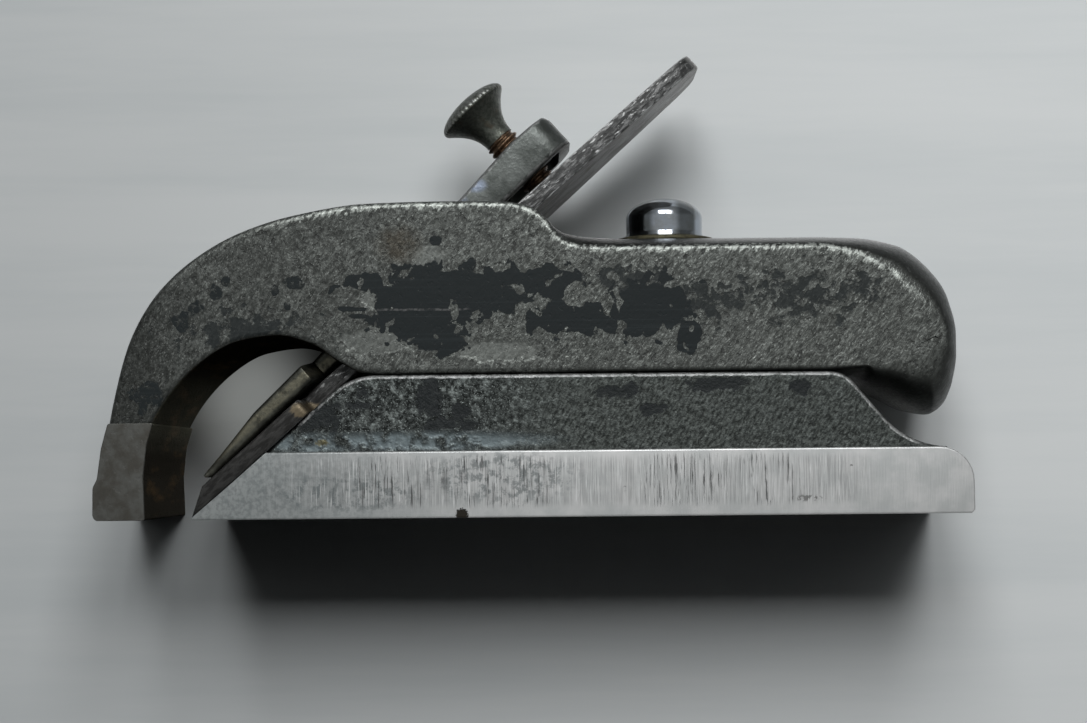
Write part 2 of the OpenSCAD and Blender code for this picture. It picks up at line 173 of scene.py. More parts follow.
# %% Outline helpers
def smooth_rows(rows, steps):
    """Curve through rows of values. Between two rows it is the cubic that has the rows' values and
    slopes at its ends, paced by the distance between their first two values."""
    rows = np.asarray(rows, float)
    pace = np.maximum(np.hypot(*np.diff(rows[:, :2], axis=0).T), 0.01)[:, None]
    slope = np.diff(rows, axis=0) / pace
    product = slope[:-1] * slope[1:]
    total = slope[:-1] + slope[1:]
    mean = np.where(product > 0, 2 * product / np.where(np.abs(total) < 1e-9, 1, total), 0)
    lean = np.vstack([slope[:1], mean, slope[-1:]])
    t = np.linspace(0, 1, steps, endpoint=False)[None, :, None]
    s = t * t * (3 - 2 * t)
    start, end = rows[:-1, None], rows[1:, None]
    reach = pace[:, None]
    curve = (start * (1 - s) + end * s + lean[:-1, None] * reach * t * (1 - t) ** 2
             - lean[1:, None] * reach * t * t * (1 - t))
    return np.vstack([curve.reshape(-1, rows.shape[1]), rows[-1:]])


def fillet(corners, cutback, steps=6):
    """Polygon with rounded corners: each corner is the parabola that leaves one side and joins the
    other at the cutback from the corner."""
    corners = np.asarray(corners, float)
    cutback = np.broadcast_to(cutback, len(corners))[:, None]
    before, after = np.roll(corners, 1, 0) - corners, np.roll(corners, -1, 0) - corners
    start = corners + before / np.linalg.norm(before, axis=1, keepdims=True) * cutback
    end = corners + after / np.linalg.norm(after, axis=1, keepdims=True) * cutback
    t = np.linspace(0, 1, steps)[None, :, None]
    curve = start[:, None] * (1 - t) ** 2 + 2 * corners[:, None] * t * (1 - t) + end[:, None] * t * t
    return curve.reshape(-1, 2)


def outward(ring):
    """Unit normals of a closed outline: its direction turned a quarter, away from its area."""
    along = np.roll(ring, -1, 0) - np.roll(ring, 1, 0)
    normal = np.stack([along[:, 1], -along[:, 0]], axis=1)
    x, z = ring.T
    area = np.sum(x * np.roll(z, -1) - np.roll(x, -1) * z)
    return np.sign(area) * normal / np.maximum(np.linalg.norm(normal, axis=1, keepdims=True), 1e-9)


def oblong(left, right, low, high):
    """Corners of an oblong, counterclockwise."""
    return np.array([[left, low], [right, low], [right, high], [left, high]])


def arc(centre, radius, turn):
    """Points of a circle: the centre, plus the radius times cosine and sine of each turn. Two radii
    give an ellipse."""
    return np.asarray(centre) + radius * np.stack([np.cos(turn), np.sin(turn)], axis=1)


def full_turn(count):
    """Even angles round a full turn."""
    return np.linspace(0, 2 * np.pi, count, endpoint=False)


def stadium(length, width, steps=24):
    """Long slot with round ends, centred on the clamp screw: a circle whose halves are drawn apart."""
    turn = full_turn(2 * steps) + np.pi / (2 * steps)
    x = np.cos(turn) * width / 2 + np.sign(np.cos(turn)) * (length - width) / 2
    return np.stack([CLAMP_X + x, np.sin(turn) * width / 2], axis=1)


square = fillet(oblong(0, 1, 0, 1), 0.2)
print("a filleted square has", len(square), "points")

# %% [markdown]
# ## Rounded slabs
# A casting of this kind has flat sides, and each edge rolls over from the flat side to the outline at mid
# width. Along the nose and the throat that roll is a tight quarter round, and on the handle it is a wide
# flat crown. Both are a quarter ellipse, so one grid makes them all: its rows follow the outline and its
# columns go from one flat side over the edge to the other. A handled edge is also rubbed a little way in on
# the flat side, so such a slab has one more ring of points there.

# %% Slab surface
WORN_WAY = 0.35


def slab_grid(outline, step, depth, half, turns=10, rub=None):
    """Rows along the outline, columns from side to side. At a turn a from 0 to 90 degrees the point is
    the outline plus the step times (1 - sin a), at half the width less the depth times (1 - cos a).
    Wear is w times exp(1 - w), where w is the way from the flat side's edge over the worn way, and it
    fades out where the roll ends. With a rub, w starts at a half there, and one more column lies that
    far inside the flat side, where the wear ends."""
    t = np.linspace(0, 1, turns + 1) ** 1.6
    a = np.radians(90) * t
    plane = outline[:, None] + step[:, None] * (1 - np.sin(a))[None, :, None]
    level = half - depth[:, None] * (1 - np.cos(a))[None]
    stride = np.hypot(np.linalg.norm(np.diff(plane, axis=1), axis=2), np.diff(level, axis=1))
    edge = np.zeros((len(outline), 1))
    way = np.hstack([edge, np.cumsum(stride, axis=1)]) / WORN_WAY
    way = way if rub is None else way + 0.5
    wear = way * np.exp(1 - way) * (1 - t ** 6)
    if rub is not None:
        inner = plane[:, :1] - (outward(plane[:, 0]) * rub[:, None])[:, None]
        plane = np.hstack([inner, plane])
        level = np.hstack([level[:, :1], level])
        wear = np.hstack([edge, wear])
    planes = np.hstack([plane, plane[:, ::-1]])
    levels = np.hstack([-level, level[:, ::-1]])
    return planes, levels, np.hstack([wear, wear[:, ::-1]])


def side_view(x, z, y):
    """Outline in X and Z, level across Y."""
    return np.stack([x, y, z], axis=-1)


def plan_view(x, y, z):
    """Outline in X and Y, level up Z."""
    return np.stack([x, y, z], axis=-1)


def cutter_side(along, height, across):
    """Outline along the cutter and over its lower face, level across it."""
    return on_cutter(along, across, height)


def slab(name, outline, step, depth, half, place=side_view, turns=10, rub=None):
    """Closed shell of a slab grid, with a flat face inside the innermost ring of each side. The place
    turns the outline's two values and the level across into a point."""
    plane, level, wear = slab_grid(outline, step, depth, half, turns, rub)
    points = place(plane[..., 0], plane[..., 1], level)
    return put_mesh(name, points, grid_faces(*level.shape) + side_faces(*level.shape), wear)


def plain_slab(name, outline, edge, half, place=side_view):
    """Slab whose edges are an even quarter round."""
    return slab(name, outline, -outward(outline) * edge, np.full(len(outline), edge), half, place, 5)


def prism(name, outline, low, high, place):
    """Straight solid: an outline carried from one level to another."""
    first, second = np.repeat(outline.T[..., None], 2, axis=2)
    points = place(first, second, np.repeat([[low, high]], len(outline), axis=0))
    return put_mesh(name, points, grid_faces(len(outline), 2) + side_faces(len(outline), 2))


trial = slab_grid(square, outward(square) * -0.1, np.full(len(square), 0.1), 0.5)
print("as a slab the square has", trial[1].shape, "rows and columns")

# %% [markdown]
# ## The upper casting
# Nose, arch, handle and tail are one casting. Its outline is given from the foot of the nose over the arch,
# down the step, along the handle, round the tail and back through the throat. A row holds a point at mid
# width, the step from there to the edge of the flat side, and the depth of the roll between them.

# %% Upper casting outline
ROLL = 0.7
CROWN = CASTING_WIDTH / 2 - 0.6
FOOT_Z = JOINT_Z + 0.05
BED_TOP = bed_x(JOINT_Z) - NOSE_X
BODY = HEEL_X - NOSE_X

arch_rows = [
    [0.7, 0.3, 0.7, 0, ROLL], [0.5, 4.6, 0.7, 0, ROLL], [1.2, 8.3, 0.7, -0.1, ROLL],
    [2.3, 14.2, 0.68, -0.16, ROLL], [3.8, 20, 0.63, -0.28, ROLL], [6.3, 25, 0.58, -0.4, ROLL],
    [10.5, 29.5, 0.48, -0.52, ROLL], [16.6, 33.2, 0.32, -0.63, ROLL], [23.2, 35.3, 0.18, -0.68, ROLL],
    [31.7, 36.6, 0.06, -0.7, ROLL], [41.5, 36.8, 0, -0.7, ROLL], [47.5, 36.7, -0.05, -0.7, ROLL],
    [50.6, 36.1, -0.25, -0.65, ROLL], [52.6, 34.7, -0.45, -0.6, 0.9], [53.6, 33.6, -0.35, -0.95, 1.6],
    [55, 33.15, -0.25, -1.75, 4], [57.4, 33.1, 0, -2.2, 8], [62, 33.1, 0, -2.2, CROWN],
]
tail_rows = [
    [BODY - 17.6, 33.1, -0.4, -2.2, CROWN], [BODY - 12.2, 33, -1.5, -2.7, CROWN],
    [BODY - 7.2, 32.2, -3.2, -3.5, CROWN], [BODY - 3.4, 29.6, -3.9, -3.5, CROWN],
    [BODY - 0.9, 25.7, -3.7, -2.5, CROWN], [BODY - 0.1, 21, -3.2, 0.1, CROWN],
    [BODY - 0.1, 18, -3.3, 2.1, CROWN], [BODY - 0.5, 15.2, -3.7, 4.2, CROWN],
    [BODY - 1.3, 13, -3.7, 5.9, CROWN], [BODY - 3, 11.7, -3.2, 6.7, CROWN],
    [BODY - 5.4, 12.1, -1.9, 5.8, CROWN], [BODY - 8.2, 13.5, -1, 4, CROWN],
    [BODY - 11, 15.2, -0.3, 2, 8], [BODY - 12.2, FOOT_Z, 0, 0.6, 3], [BODY - 17, FOOT_Z, 0, 0.6, ROLL],
]
throat_rows = [
    [BED_TOP + 3.6, FOOT_Z, 0, 0.6, ROLL], [BED_TOP + 1.2, 16.9, 0.2, 0.6, ROLL],
    [BED_TOP - 1.4, 18.1, 0.4, 0.5, ROLL], [BED_TOP - 4.6, 20.2, 0.25, 0.6, ROLL],
    [21.2, 21.2, 0, 0.65, ROLL], [16.8, 20.6, -0.2, 0.62, ROLL], [12.3, 18.1, -0.45, 0.5, ROLL],
    [7.6, 12.7, -0.62, 0.25, ROLL], [5.95, 8.7, -0.65, 0.05, ROLL], [5.6, 5, -0.65, 0, ROLL],
    [5.75, 0.3, -0.65, 0, ROLL],
]
casting_rows = smooth_rows(arch_rows + tail_rows + throat_rows, 9)
casting_rows[:, 0] += NOSE_X
print("upper casting outline:", len(casting_rows), "points")

# %% [markdown]
# The ground band round the nose stands a little proud. Then the slots are cut: one for the cutter's tang and
# one for the cap, both along the cutter, and from above one for the clamp screw with a flat for its washer.
# A groove underneath runs on the sole's tongue, and a round lip in the cap's slot holds the cap down.

# %% Upper casting
RUB = 0.85
NOSE_BAND = [
    [0.35, 0], [0, 0.5], [0, 3.8], [0.5, 4.8], [0.95, 8.3], [1.7, 11.2],
    [6.95, 11.2], [6.2, 8.7], [5.8, 5], [6, 0],
]
SLOT_START, SLOT_END = 18.3, 75.0
TANG_LOW, TANG_HIGH, TANG_HALF = -1.59, 3.25, 9.6
CAP_SLOT_HALF, CAP_SLOT_GAP = 6.9, 1.25
LIP_AT, LIP_RADIUS, LIP_GAP, LIP_BITE = 40, 2, 0.35, 0.5
UNDER, OVER = 10, 40
FLAT_Z, GROOVE_Z = 32.5, 18.9
SCREW_SLOT, WASHER_FLAT = (10, 6), (17.4, 13.4)
GROOVE = (-11.4, 35.4, -5.1, 5.1)

rubbed = RUB * np.clip((casting_rows[:, 1] - 4) / 6, 0.03, 1)
upper = slab("upper_casting", casting_rows[:, :2], casting_rows[:, 2:4], casting_rows[:, 4],
             CASTING_WIDTH / 2, rub=rubbed)
nose_ring = fillet(np.array(NOSE_BAND) + [NOSE_X, 0], 0.28, 5)
nose_band = plain_slab("nose_band", nose_ring, 0.1, SOLE_WIDTH / 2)
tang_ring = oblong(SLOT_START, SLOT_END, TANG_LOW, TANG_HIGH)
tang_slot = prism("tang_slot", tang_ring, -TANG_HALF, TANG_HALF, cutter_side)
cap_ring = oblong(SLOT_START, SLOT_END, CUTTER_THICKNESS, CUTTER_THICKNESS)
cap_ring[2:, 1] += cap_rise(cap_ring[2:, 0]) + CAP_SLOT_GAP
cap_slot = prism("cap_slot", cap_ring, -CAP_SLOT_HALF, CAP_SLOT_HALF, cutter_side)
screw_slot = prism("screw_slot", stadium(*SCREW_SLOT), UNDER, OVER, plan_view)
washer_flat = prism("washer_flat", stadium(*WASHER_FLAT), FLAT_Z, OVER, plan_view)
groove = prism("groove", oblong(*GROOVE), UNDER, GROOVE_Z, plan_view)
lip_height = CUTTER_THICKNESS + cap_rise(LIP_AT) + LIP_GAP + LIP_RADIUS
lip = prism("lip", arc([LIP_AT, lip_height], LIP_RADIUS, full_turn(32)), -CAP_SLOT_HALF - LIP_BITE,
            CAP_SLOT_HALF + LIP_BITE, cutter_side)
combine(upper, [nose_band], [tang_slot, cap_slot, screw_slot, washer_flat, groove], [lip])

# %% [markdown]
# ## The sole casting
# Below lies the sole, with ground bands along both sides, the sloping cutter bed in front and a hollow slope
# behind. The rough part above the bands is a slab a little narrower than the bands, and its top corners were
# cast round. A tongue on top guides the upper casting.

# %% Sole casting
HEEL_RADIUS, SLOPE_RADIUS = 4, 10
SLOPE_ANGLE = np.radians(50)
SLOPE_TOP_X = HEEL_X - 14.7
SOLE_TOP_Z = JOINT_Z - 0.04
ROUGH_FOOT_Z = 5
ROUGH_EDGE, BAND_EDGE = 0.55, 0.22
TONGUE, TONGUE_Z = (-10.8, 33.2, -5, 5), JOINT_Z + 2.2
SCREW_HOLE, HOLE_LOW, HOLE_HIGH = (5.73, 5.72, 16), 5.94, 30

slope_end_z = BAND_Z + SLOPE_RADIUS * (1 - np.cos(SLOPE_ANGLE))
slope_run = (SOLE_TOP_Z - slope_end_z) / np.tan(SLOPE_ANGLE)
slope_centre_x = SLOPE_TOP_X + slope_run + SLOPE_RADIUS * np.sin(SLOPE_ANGLE)
slope_turn = 1.5 * np.pi - np.linspace(SLOPE_ANGLE, np.radians(2), 10)
hollow = arc([slope_centre_x, BAND_Z + SLOPE_RADIUS], SLOPE_RADIUS, slope_turn)
foot = [bed_x(ROUGH_FOOT_Z), ROUGH_FOOT_Z]
rough_corners = [foot, [bed_x(SOLE_TOP_Z), SOLE_TOP_Z], [SLOPE_TOP_X, SOLE_TOP_Z], hollow[0]]
rough_ring = np.vstack([
    [foot], fillet(rough_corners, [0.1, 3.0, 1.9, 0.1], 8)[8:24], hollow,
    [[slope_centre_x + 1, BAND_Z - 2], [foot[0] + 3, ROUGH_FOOT_Z]]])
heel = arc([HEEL_X - HEEL_RADIUS, BAND_Z - HEEL_RADIUS], HEEL_RADIUS, np.radians(np.linspace(90, 0, 10)))
band_ring = np.vstack([
    [[bed_x(0), 0], [bed_x(BAND_Z), BAND_Z]], heel, [[HEEL_X, 0.4], [HEEL_X - 0.4, 0]]])
sole = plain_slab("sole_casting_body", rough_ring, ROUGH_EDGE, CASTING_WIDTH / 2)
bands = plain_slab("side_bands", band_ring, BAND_EDGE, SOLE_WIDTH / 2)
tongue = prism("tongue", oblong(*TONGUE), BAND_Z, TONGUE_Z, plan_view)
screw_hole = prism("screw_hole", stadium(*SCREW_HOLE), HOLE_LOW, HOLE_HIGH, plan_view)
combine(sole, [bands, tongue], [screw_hole])

# %% [markdown]
# ## The cutter
# The iron is a T: as wide as the sole at its edge, with a narrower tang that tapers to a rounded end. It was
# hammered from flat bar, so its edges are barely broken. The ground bevel on top is one straight cut.

# %% Cutter
CUTTER_EDGE = 0.22
BEVEL_RISE, BEVEL_HALF = np.tan(np.radians(30)), 14
half_plan = [[-2, 12.7], [18.3, 12.7], [18.3, 9.25], [56, 9.25], [CUTTER_LENGTH, 5.9]]
corner_cuts = [0.5, 0.8, 1.2, 6, 3.2]
cutter_ring = fillet(half_plan + [[x, -y] for x, y in half_plan[::-1]], corner_cuts + corner_cuts[::-1], 8)
half_thickness = CUTTER_THICKNESS / 2
iron = plain_slab("cutter_iron", cutter_ring, CUTTER_EDGE, half_thickness,
                  lambda along, across, level: on_cutter(along, across, level + half_thickness))
bevel_ring = np.array([[-3, -3 * BEVEL_RISE], [-3, 4], [4 / BEVEL_RISE, 4]])
combine(iron, cut=[prism("bevel", bevel_ring, -BEVEL_HALF, BEVEL_HALF, cutter_side)])

# %% [markdown]
# ## The lever cap
# The cap is a tapering casting: thin and wide at the nose, where a bead bears on the cutter, then narrow and
# ever thicker up to the thumbscrew. A grid suits it well: rows along the cap, columns round a rounded oblong
# section. The tail has a hollow underneath, so that only its rim shows, and a hole for the stud.

# %% Lever cap
CAP_START, CAP_END = 4.3, 62.8
NOSE_END = 4.9
NOSE_HALF, SHANK_HALF = 12, 6.4
TAIL_CORNER, CAP_EDGE = 3.2, 0.55
STUD_BORE, BORE_HIGH = 2.16, 20
HOLLOW, HOLLOW_LOW, HOLLOW_HIGH = (49.1, 61, -4.6, 4.6), 1, 4.7
CAP_TOP = np.array([
    [CAP_START, 0.85], [NOSE_END, 1.05], [7, 1.32], [13.4, 2.4], [SHOULDER, SHANK_LOW],
    [SCREW_AT, SHANK_HIGH], [62.2, 6.2], [CAP_END, 5.6]])


def cap_grid(rows=150, steps=7):
    """Rows along the cap, columns round the section. Half width, top and underside are functions of the
    way along; a column is a corner of that oblong plus a quarter round of the corner radius."""
    u = np.sort(np.hstack([
        np.linspace(CAP_START, CAP_END, rows), SHOULDER + np.linspace(-1.6, 1.6, 24),
        CAP_END - np.linspace(0.02, 3.2, 16) ** 1.5 / 1.79]))
    shoulder = np.clip((u - SHOULDER + 1.1) / 1.3, 0, 1)
    wide = NOSE_HALF - (NOSE_HALF - SHANK_HALF) * shoulder * shoulder * (3 - 2 * shoulder)
    beyond = np.clip((u - CAP_END + TAIL_CORNER) / TAIL_CORNER, 0, 1)
    half = wide - TAIL_CORNER * (1 - np.sqrt(np.maximum(1 - beyond ** 2, 0)))
    top = np.interp(u, *CAP_TOP.T)
    under = 0.08 + 1.75 * (u - NOSE_END) / (CAP_END - NOSE_END)
    under = under + 0.55 * np.clip((NOSE_END - u) / (NOSE_END - CAP_START), 0, 1)
    under = under - 0.1 * np.exp(-((u - 5.1) / 0.5) ** 2)
    middle, rise = (top + under) / 2, (top - under) / 2
    radius = np.minimum(CAP_EDGE, rise * 0.9)[:, None]
    quarter = np.repeat(np.arange(4), steps) * np.pi / 2
    turn = np.tile(np.radians(np.linspace(0, 90, steps)), 4) + quarter
    across, upward = np.sign(np.cos(quarter + np.pi / 4)), np.sign(np.sin(quarter + np.pi / 4))
    y = across * (half[:, None] - radius) + radius * np.cos(turn)
    v = CUTTER_THICKNESS + middle[:, None] + upward * (rise[:, None] - radius) + radius * np.sin(turn)
    wear = np.exp(-((np.abs(np.sin(2 * turn)) - 1) / 0.6) ** 2) * np.ones_like(y)
    return on_cutter(u[:, None], y, v), wear


cap_points, cap_wear = cap_grid()
cap_rows, cap_columns = cap_wear.shape
cap_ends = np.arange(cap_columns) + [[0], [(cap_rows - 1) * cap_columns]]
cap = put_mesh("cap_casting", cap_points,
               grid_faces(cap_rows, cap_columns, False, True) + cap_ends.tolist(), cap_wear)
hollow_cut = prism("hollow_cut", fillet(oblong(*HOLLOW), 1.4), HOLLOW_LOW, HOLLOW_HIGH, on_cutter)
bore_cut = prism("bore_cut", arc([SCREW_AT, 0], STUD_BORE, full_turn(32)), 0, BORE_HIGH, on_cutter)
combine(cap, cut=[hollow_cut, bore_cut])

# %% [markdown]
# ## Turned pieces
# Screws, washer and thumbscrew come off a lathe: a profile of radius and height turned about an axis. The
# thumbscrew's rim is knurled, which is a ripple of the radius with the angle. The stud's thread is a true
# helix: a triangle wave along the axis, moved by one pitch a turn.

# %% Lathe
def lathe(name, radius, height, place, around, wear=None, ripple=None):
    """Surface of revolution: rows round the axis, columns along the profile, with the radius changed by
    a ripple of angle and height where one is given. Both ends of the profile lie on the axis."""
    angle = full_turn(around)[:, None]
    r, h = np.repeat([[radius], [height]], around, axis=1)
    if ripple is not None:
        r = r + ripple(angle, h, r)
    ends = np.array([[0, 0, h[0, 0]], [0, 0, h[0, -1]]])
    body = np.stack([r * np.cos(angle), r * np.sin(angle), h], axis=-1).reshape(-1, 3)
    points = place(*np.vstack([body, ends]).T)
    columns = r.shape[1]
    here = np.arange(around) * columns
    pairs = np.stack([here, np.roll(here, -1)], axis=1)
    first = np.insert(pairs, 2, around * columns, axis=1)
    last = np.insert(pairs + columns - 1, 2, around * columns + 1, axis=1)
    shade = np.zeros(len(points))
    if wear is not None:
        shade[:-2] = np.tile(wear, around)
    return put_mesh(name, points, grid_faces(around, columns) + first.tolist() + last.tolist(), shade)


def at_thumbscrew(x, y, h):
    """Axis of the thumbscrew, with the height over the cutter's upper face."""
    return on_cutter(SCREW_AT + x, y, CUTTER_THICKNESS + h)


def at_clamp(x, y, z):
    """Axis of the clamp screw."""
    return plan_view(CLAMP_X + x, y, z)


print("thumbscrew axis starts at", np.round(at_thumbscrew(0, 0, 0), 2))

# %% Thumbscrew head
HEAD_BASE, FLARE = 8.3, 4.5
NECK, RIM = 1.9, 4.65
RIM_ROUND, FACE_RISE = 0.35, 1.55
SOCKET, SOCKET_DEPTH = 1.76, 4.4
TEETH, TOOTH_DEPTH = 44, 0.09
FLARE_TOP = HEAD_BASE + FLARE

t = np.linspace(0, 1, 28)
flare_r, flare_h = NECK + (RIM - 0.15 - NECK) * t ** 2.2, HEAD_BASE + FLARE * t
rim_turn = np.radians(np.linspace(-70, 90, 26))[1:-1]
below = rim_turn < 0
rim_r = np.where(below, RIM - RIM_ROUND + RIM_ROUND * np.cos(rim_turn), RIM * np.cos(rim_turn))
rim_h = FLARE_TOP + RIM_ROUND + np.where(below, RIM_ROUND, FACE_RISE) * np.sin(rim_turn)
head_r = np.hstack([[SOCKET, SOCKET, NECK - 0.1], flare_r, rim_r])
head_h = np.hstack([[HEAD_BASE + SOCKET_DEPTH, HEAD_BASE, HEAD_BASE], flare_h, rim_h])
head_wear = np.hstack([np.zeros(3), 0.35 * t ** 6, np.exp(-((rim_turn - 0.1) / 0.5) ** 2)])


def knurl(angle, height, radius):
    """Ripple of the rim: a cosine of the angle, times a bell curve of the height about the rim's middle,
    and only outside the neck."""
    near = np.exp(-((height - FLARE_TOP - 0.55) / 0.5) ** 2) * (radius > 3.6)
    return -TOOTH_DEPTH * near * (0.5 + 0.5 * np.cos(TEETH * angle))


head = lathe("thumbscrew_knob", head_r, head_h, at_thumbscrew, 8 * TEETH, head_wear, knurl)

# %% Thumbscrew stud
CREST, ROOT, PITCH = 2.1, 1.7, 0.8
THREAD_START, THREAD_END, THREAD_ROWS = 0.5, HEAD_BASE - 0.1, 150
STUD_TOP = HEAD_BASE + 4.1
stud_h = np.hstack([[0.04, 0.06], np.linspace(THREAD_START, THREAD_END, THREAD_ROWS),
                    [HEAD_BASE - 0.05, STUD_TOP]])
stud_r = np.hstack([[0.05, 1.1], np.full(THREAD_ROWS + 2, ROOT)])


def thread(angle, height, radius):
    """Helical thread: a triangle wave of the height in pitches less the turn, faded out at both ends."""
    phase = (height / PITCH - angle / (2 * np.pi)) % 1
    wave = 1 - np.abs(2 * phase - 1)
    ends = np.clip((height - 0.6) / 0.6, 0, 1) * np.clip((THREAD_END - height) / 0.2, 0, 1)
    return (CREST - ROOT) * np.clip(1.5 * wave - 0.2, 0, 1) * ends * (radius >= ROOT)


stud = lathe("thumbscrew_thread", stud_r, stud_h, at_thumbscrew, 64, None, thread)

# %% [markdown]
# The clamp screw's head is a low dome on a straight side. Its foot flares a little, and the rings over the
# flare keep the side's shading straight. A driver's slot lies along the plane. The washer is a ring whose
# section closes on itself, so its grid closes both ways.

# %% Clamp screw and washer
SEAT, SIDE, DOME, CLAMP_RADIUS = 33.42, 2.5, 2.5, 4.65
SHANK_RADIUS, SHANK_END = 2.8, 6
SLOT_REACH, SLOT_HALF, SLOT_DEPTH, SLOT_HIGH = 9, 0.6, 1.6, 45
WASHER_Z, WASHER_THICKNESS, WASHER_RADIUS, WASHER_BORE, WASHER_ROUND = 32.58, 0.8, 6.3, 2.92, 0.3
AROUND = 128

foot_r, foot_h = np.array([0.1, 0.2, 0.09, 0.02, 0, 0]), np.array([0, 0.08, 0.4, 0.55, 0.65, 0.8])
dome = arc([0, SEAT + SIDE], [CLAMP_RADIUS, DOME], np.radians(np.linspace(0, 89, 26)))
shank_r = [0.05, SHANK_RADIUS - 0.5, SHANK_RADIUS, SHANK_RADIUS]
screw_r = np.hstack([shank_r, CLAMP_RADIUS + foot_r, dome[:, 0]])
screw_h = np.hstack([[SHANK_END, SHANK_END, SHANK_END + 0.5, SEAT], SEAT + foot_h, dome[:, 1]])
clamp = lathe("clamp_screw_turned", screw_r, screw_h, at_clamp, AROUND)
driver_ring = oblong(CLAMP_X - SLOT_REACH, CLAMP_X + SLOT_REACH, -SLOT_HALF, SLOT_HALF)
driver = prism("driver_cut", driver_ring, SEAT + SIDE + DOME - SLOT_DEPTH, SLOT_HIGH, plan_view)
combine(clamp, cut=[driver])

washer_edge = arc([WASHER_RADIUS - WASHER_ROUND, WASHER_Z + WASHER_THICKNESS / 2],
                  [WASHER_ROUND, WASHER_THICKNESS / 2], np.radians(np.linspace(-90, 90, 9)))
bore_edge = [[WASHER_BORE, WASHER_Z + WASHER_THICKNESS]]
r, h = np.vstack([[[WASHER_BORE, WASHER_Z]], washer_edge, bore_edge]).T
turn = full_turn(AROUND)[:, None]
washer_points = at_clamp(r * np.cos(turn), r * np.sin(turn), h + 0 * turn)
washer = put_mesh("clamp_washer_ring", washer_points, grid_faces(AROUND, len(r), True, True))

# %% [markdown]
# ## Finishes from nodes
# Old iron is never one colour. Each finish mixes noise at a few scales, measured in millimetres on the
# object, so the same grain runs over every piece. A small class lets a node's output be used in sums, so a
# finish reads like a formula. Noise can be stretched and leaned over: the castings' grain is diagonal.

# %% Node helpers
class Value:
    """Output of a node. Sums, products and the like add nodes; a | b is the greater, a & b the lesser."""

    def __init__(self, tree, socket):
        self.tree, self.socket = tree, socket

    def math(self, operation, other=0.0):
        return add(self.tree, "Math", {0: self, 1: other}, operation=operation)

    def __rsub__(self, other):
        return add(self.tree, "Math", {0: other, 1: self}, operation="SUBTRACT")

    __add__ = partialmethod(math, "ADD")
    __sub__ = partialmethod(math, "SUBTRACT")
    __mul__ = partialmethod(math, "MULTIPLY")
    __or__ = partialmethod(math, "MAXIMUM")
    __and__ = partialmethod(math, "MINIMUM")
    __abs__ = partialmethod(math, "ABSOLUTE")

    def span(self, low, high, start=0.0, end=1.0):
        """Smooth step from start to end as the value goes from low to high."""
        inputs = {"Value": self, "From Min": low, "From Max": high, "To Min": start, "To Max": end}
        return add(self.tree, "MapRange", inputs, interpolation_type="SMOOTHSTEP")

    def mix(self, first, second):
        """Colour that goes from the first to the second as the value goes from 0 to 1."""
        return add(self.tree, "Mix", {0: self, 6: first, 7: second}, 2, data_type="RGBA")

    def blend(self, low, high, first, second, share=1.0):
        """Colour that goes to a share of the second as the value goes from low to high."""
        return self.span(low, high, 0.0, share).mix(first, second)


def feed(tree, socket, value):
    """Links a value to a socket, or sets the socket to a number, vector or colour."""
    if isinstance(value, Value):
        tree.links.new(value.socket, socket)
    else:
        socket.default_value = (*value, 1) if socket.type == "RGBA" else value


def add(tree, kind, inputs, output=0, **settings):
    """Adds a shader node with its settings and inputs, and returns one of its outputs."""
    node = tree.nodes.new("ShaderNode" + kind)
    for key, value in settings.items():
        setattr(node, key, value)
    for key, value in inputs.items():
        feed(tree, node.inputs[key], value)
    return Value(tree, node.outputs[output])


print("an output can be used with", [name for name in vars(Value) if name[:2] != "__"])

# %% [markdown]
# A finish knows its place on the object, which way the surface faces and how worn the mesh is there. Object
# coordinates suit pieces that move: the pattern rides along with its piece.

# %% Finish of a piece
LEAN = np.radians(-31)


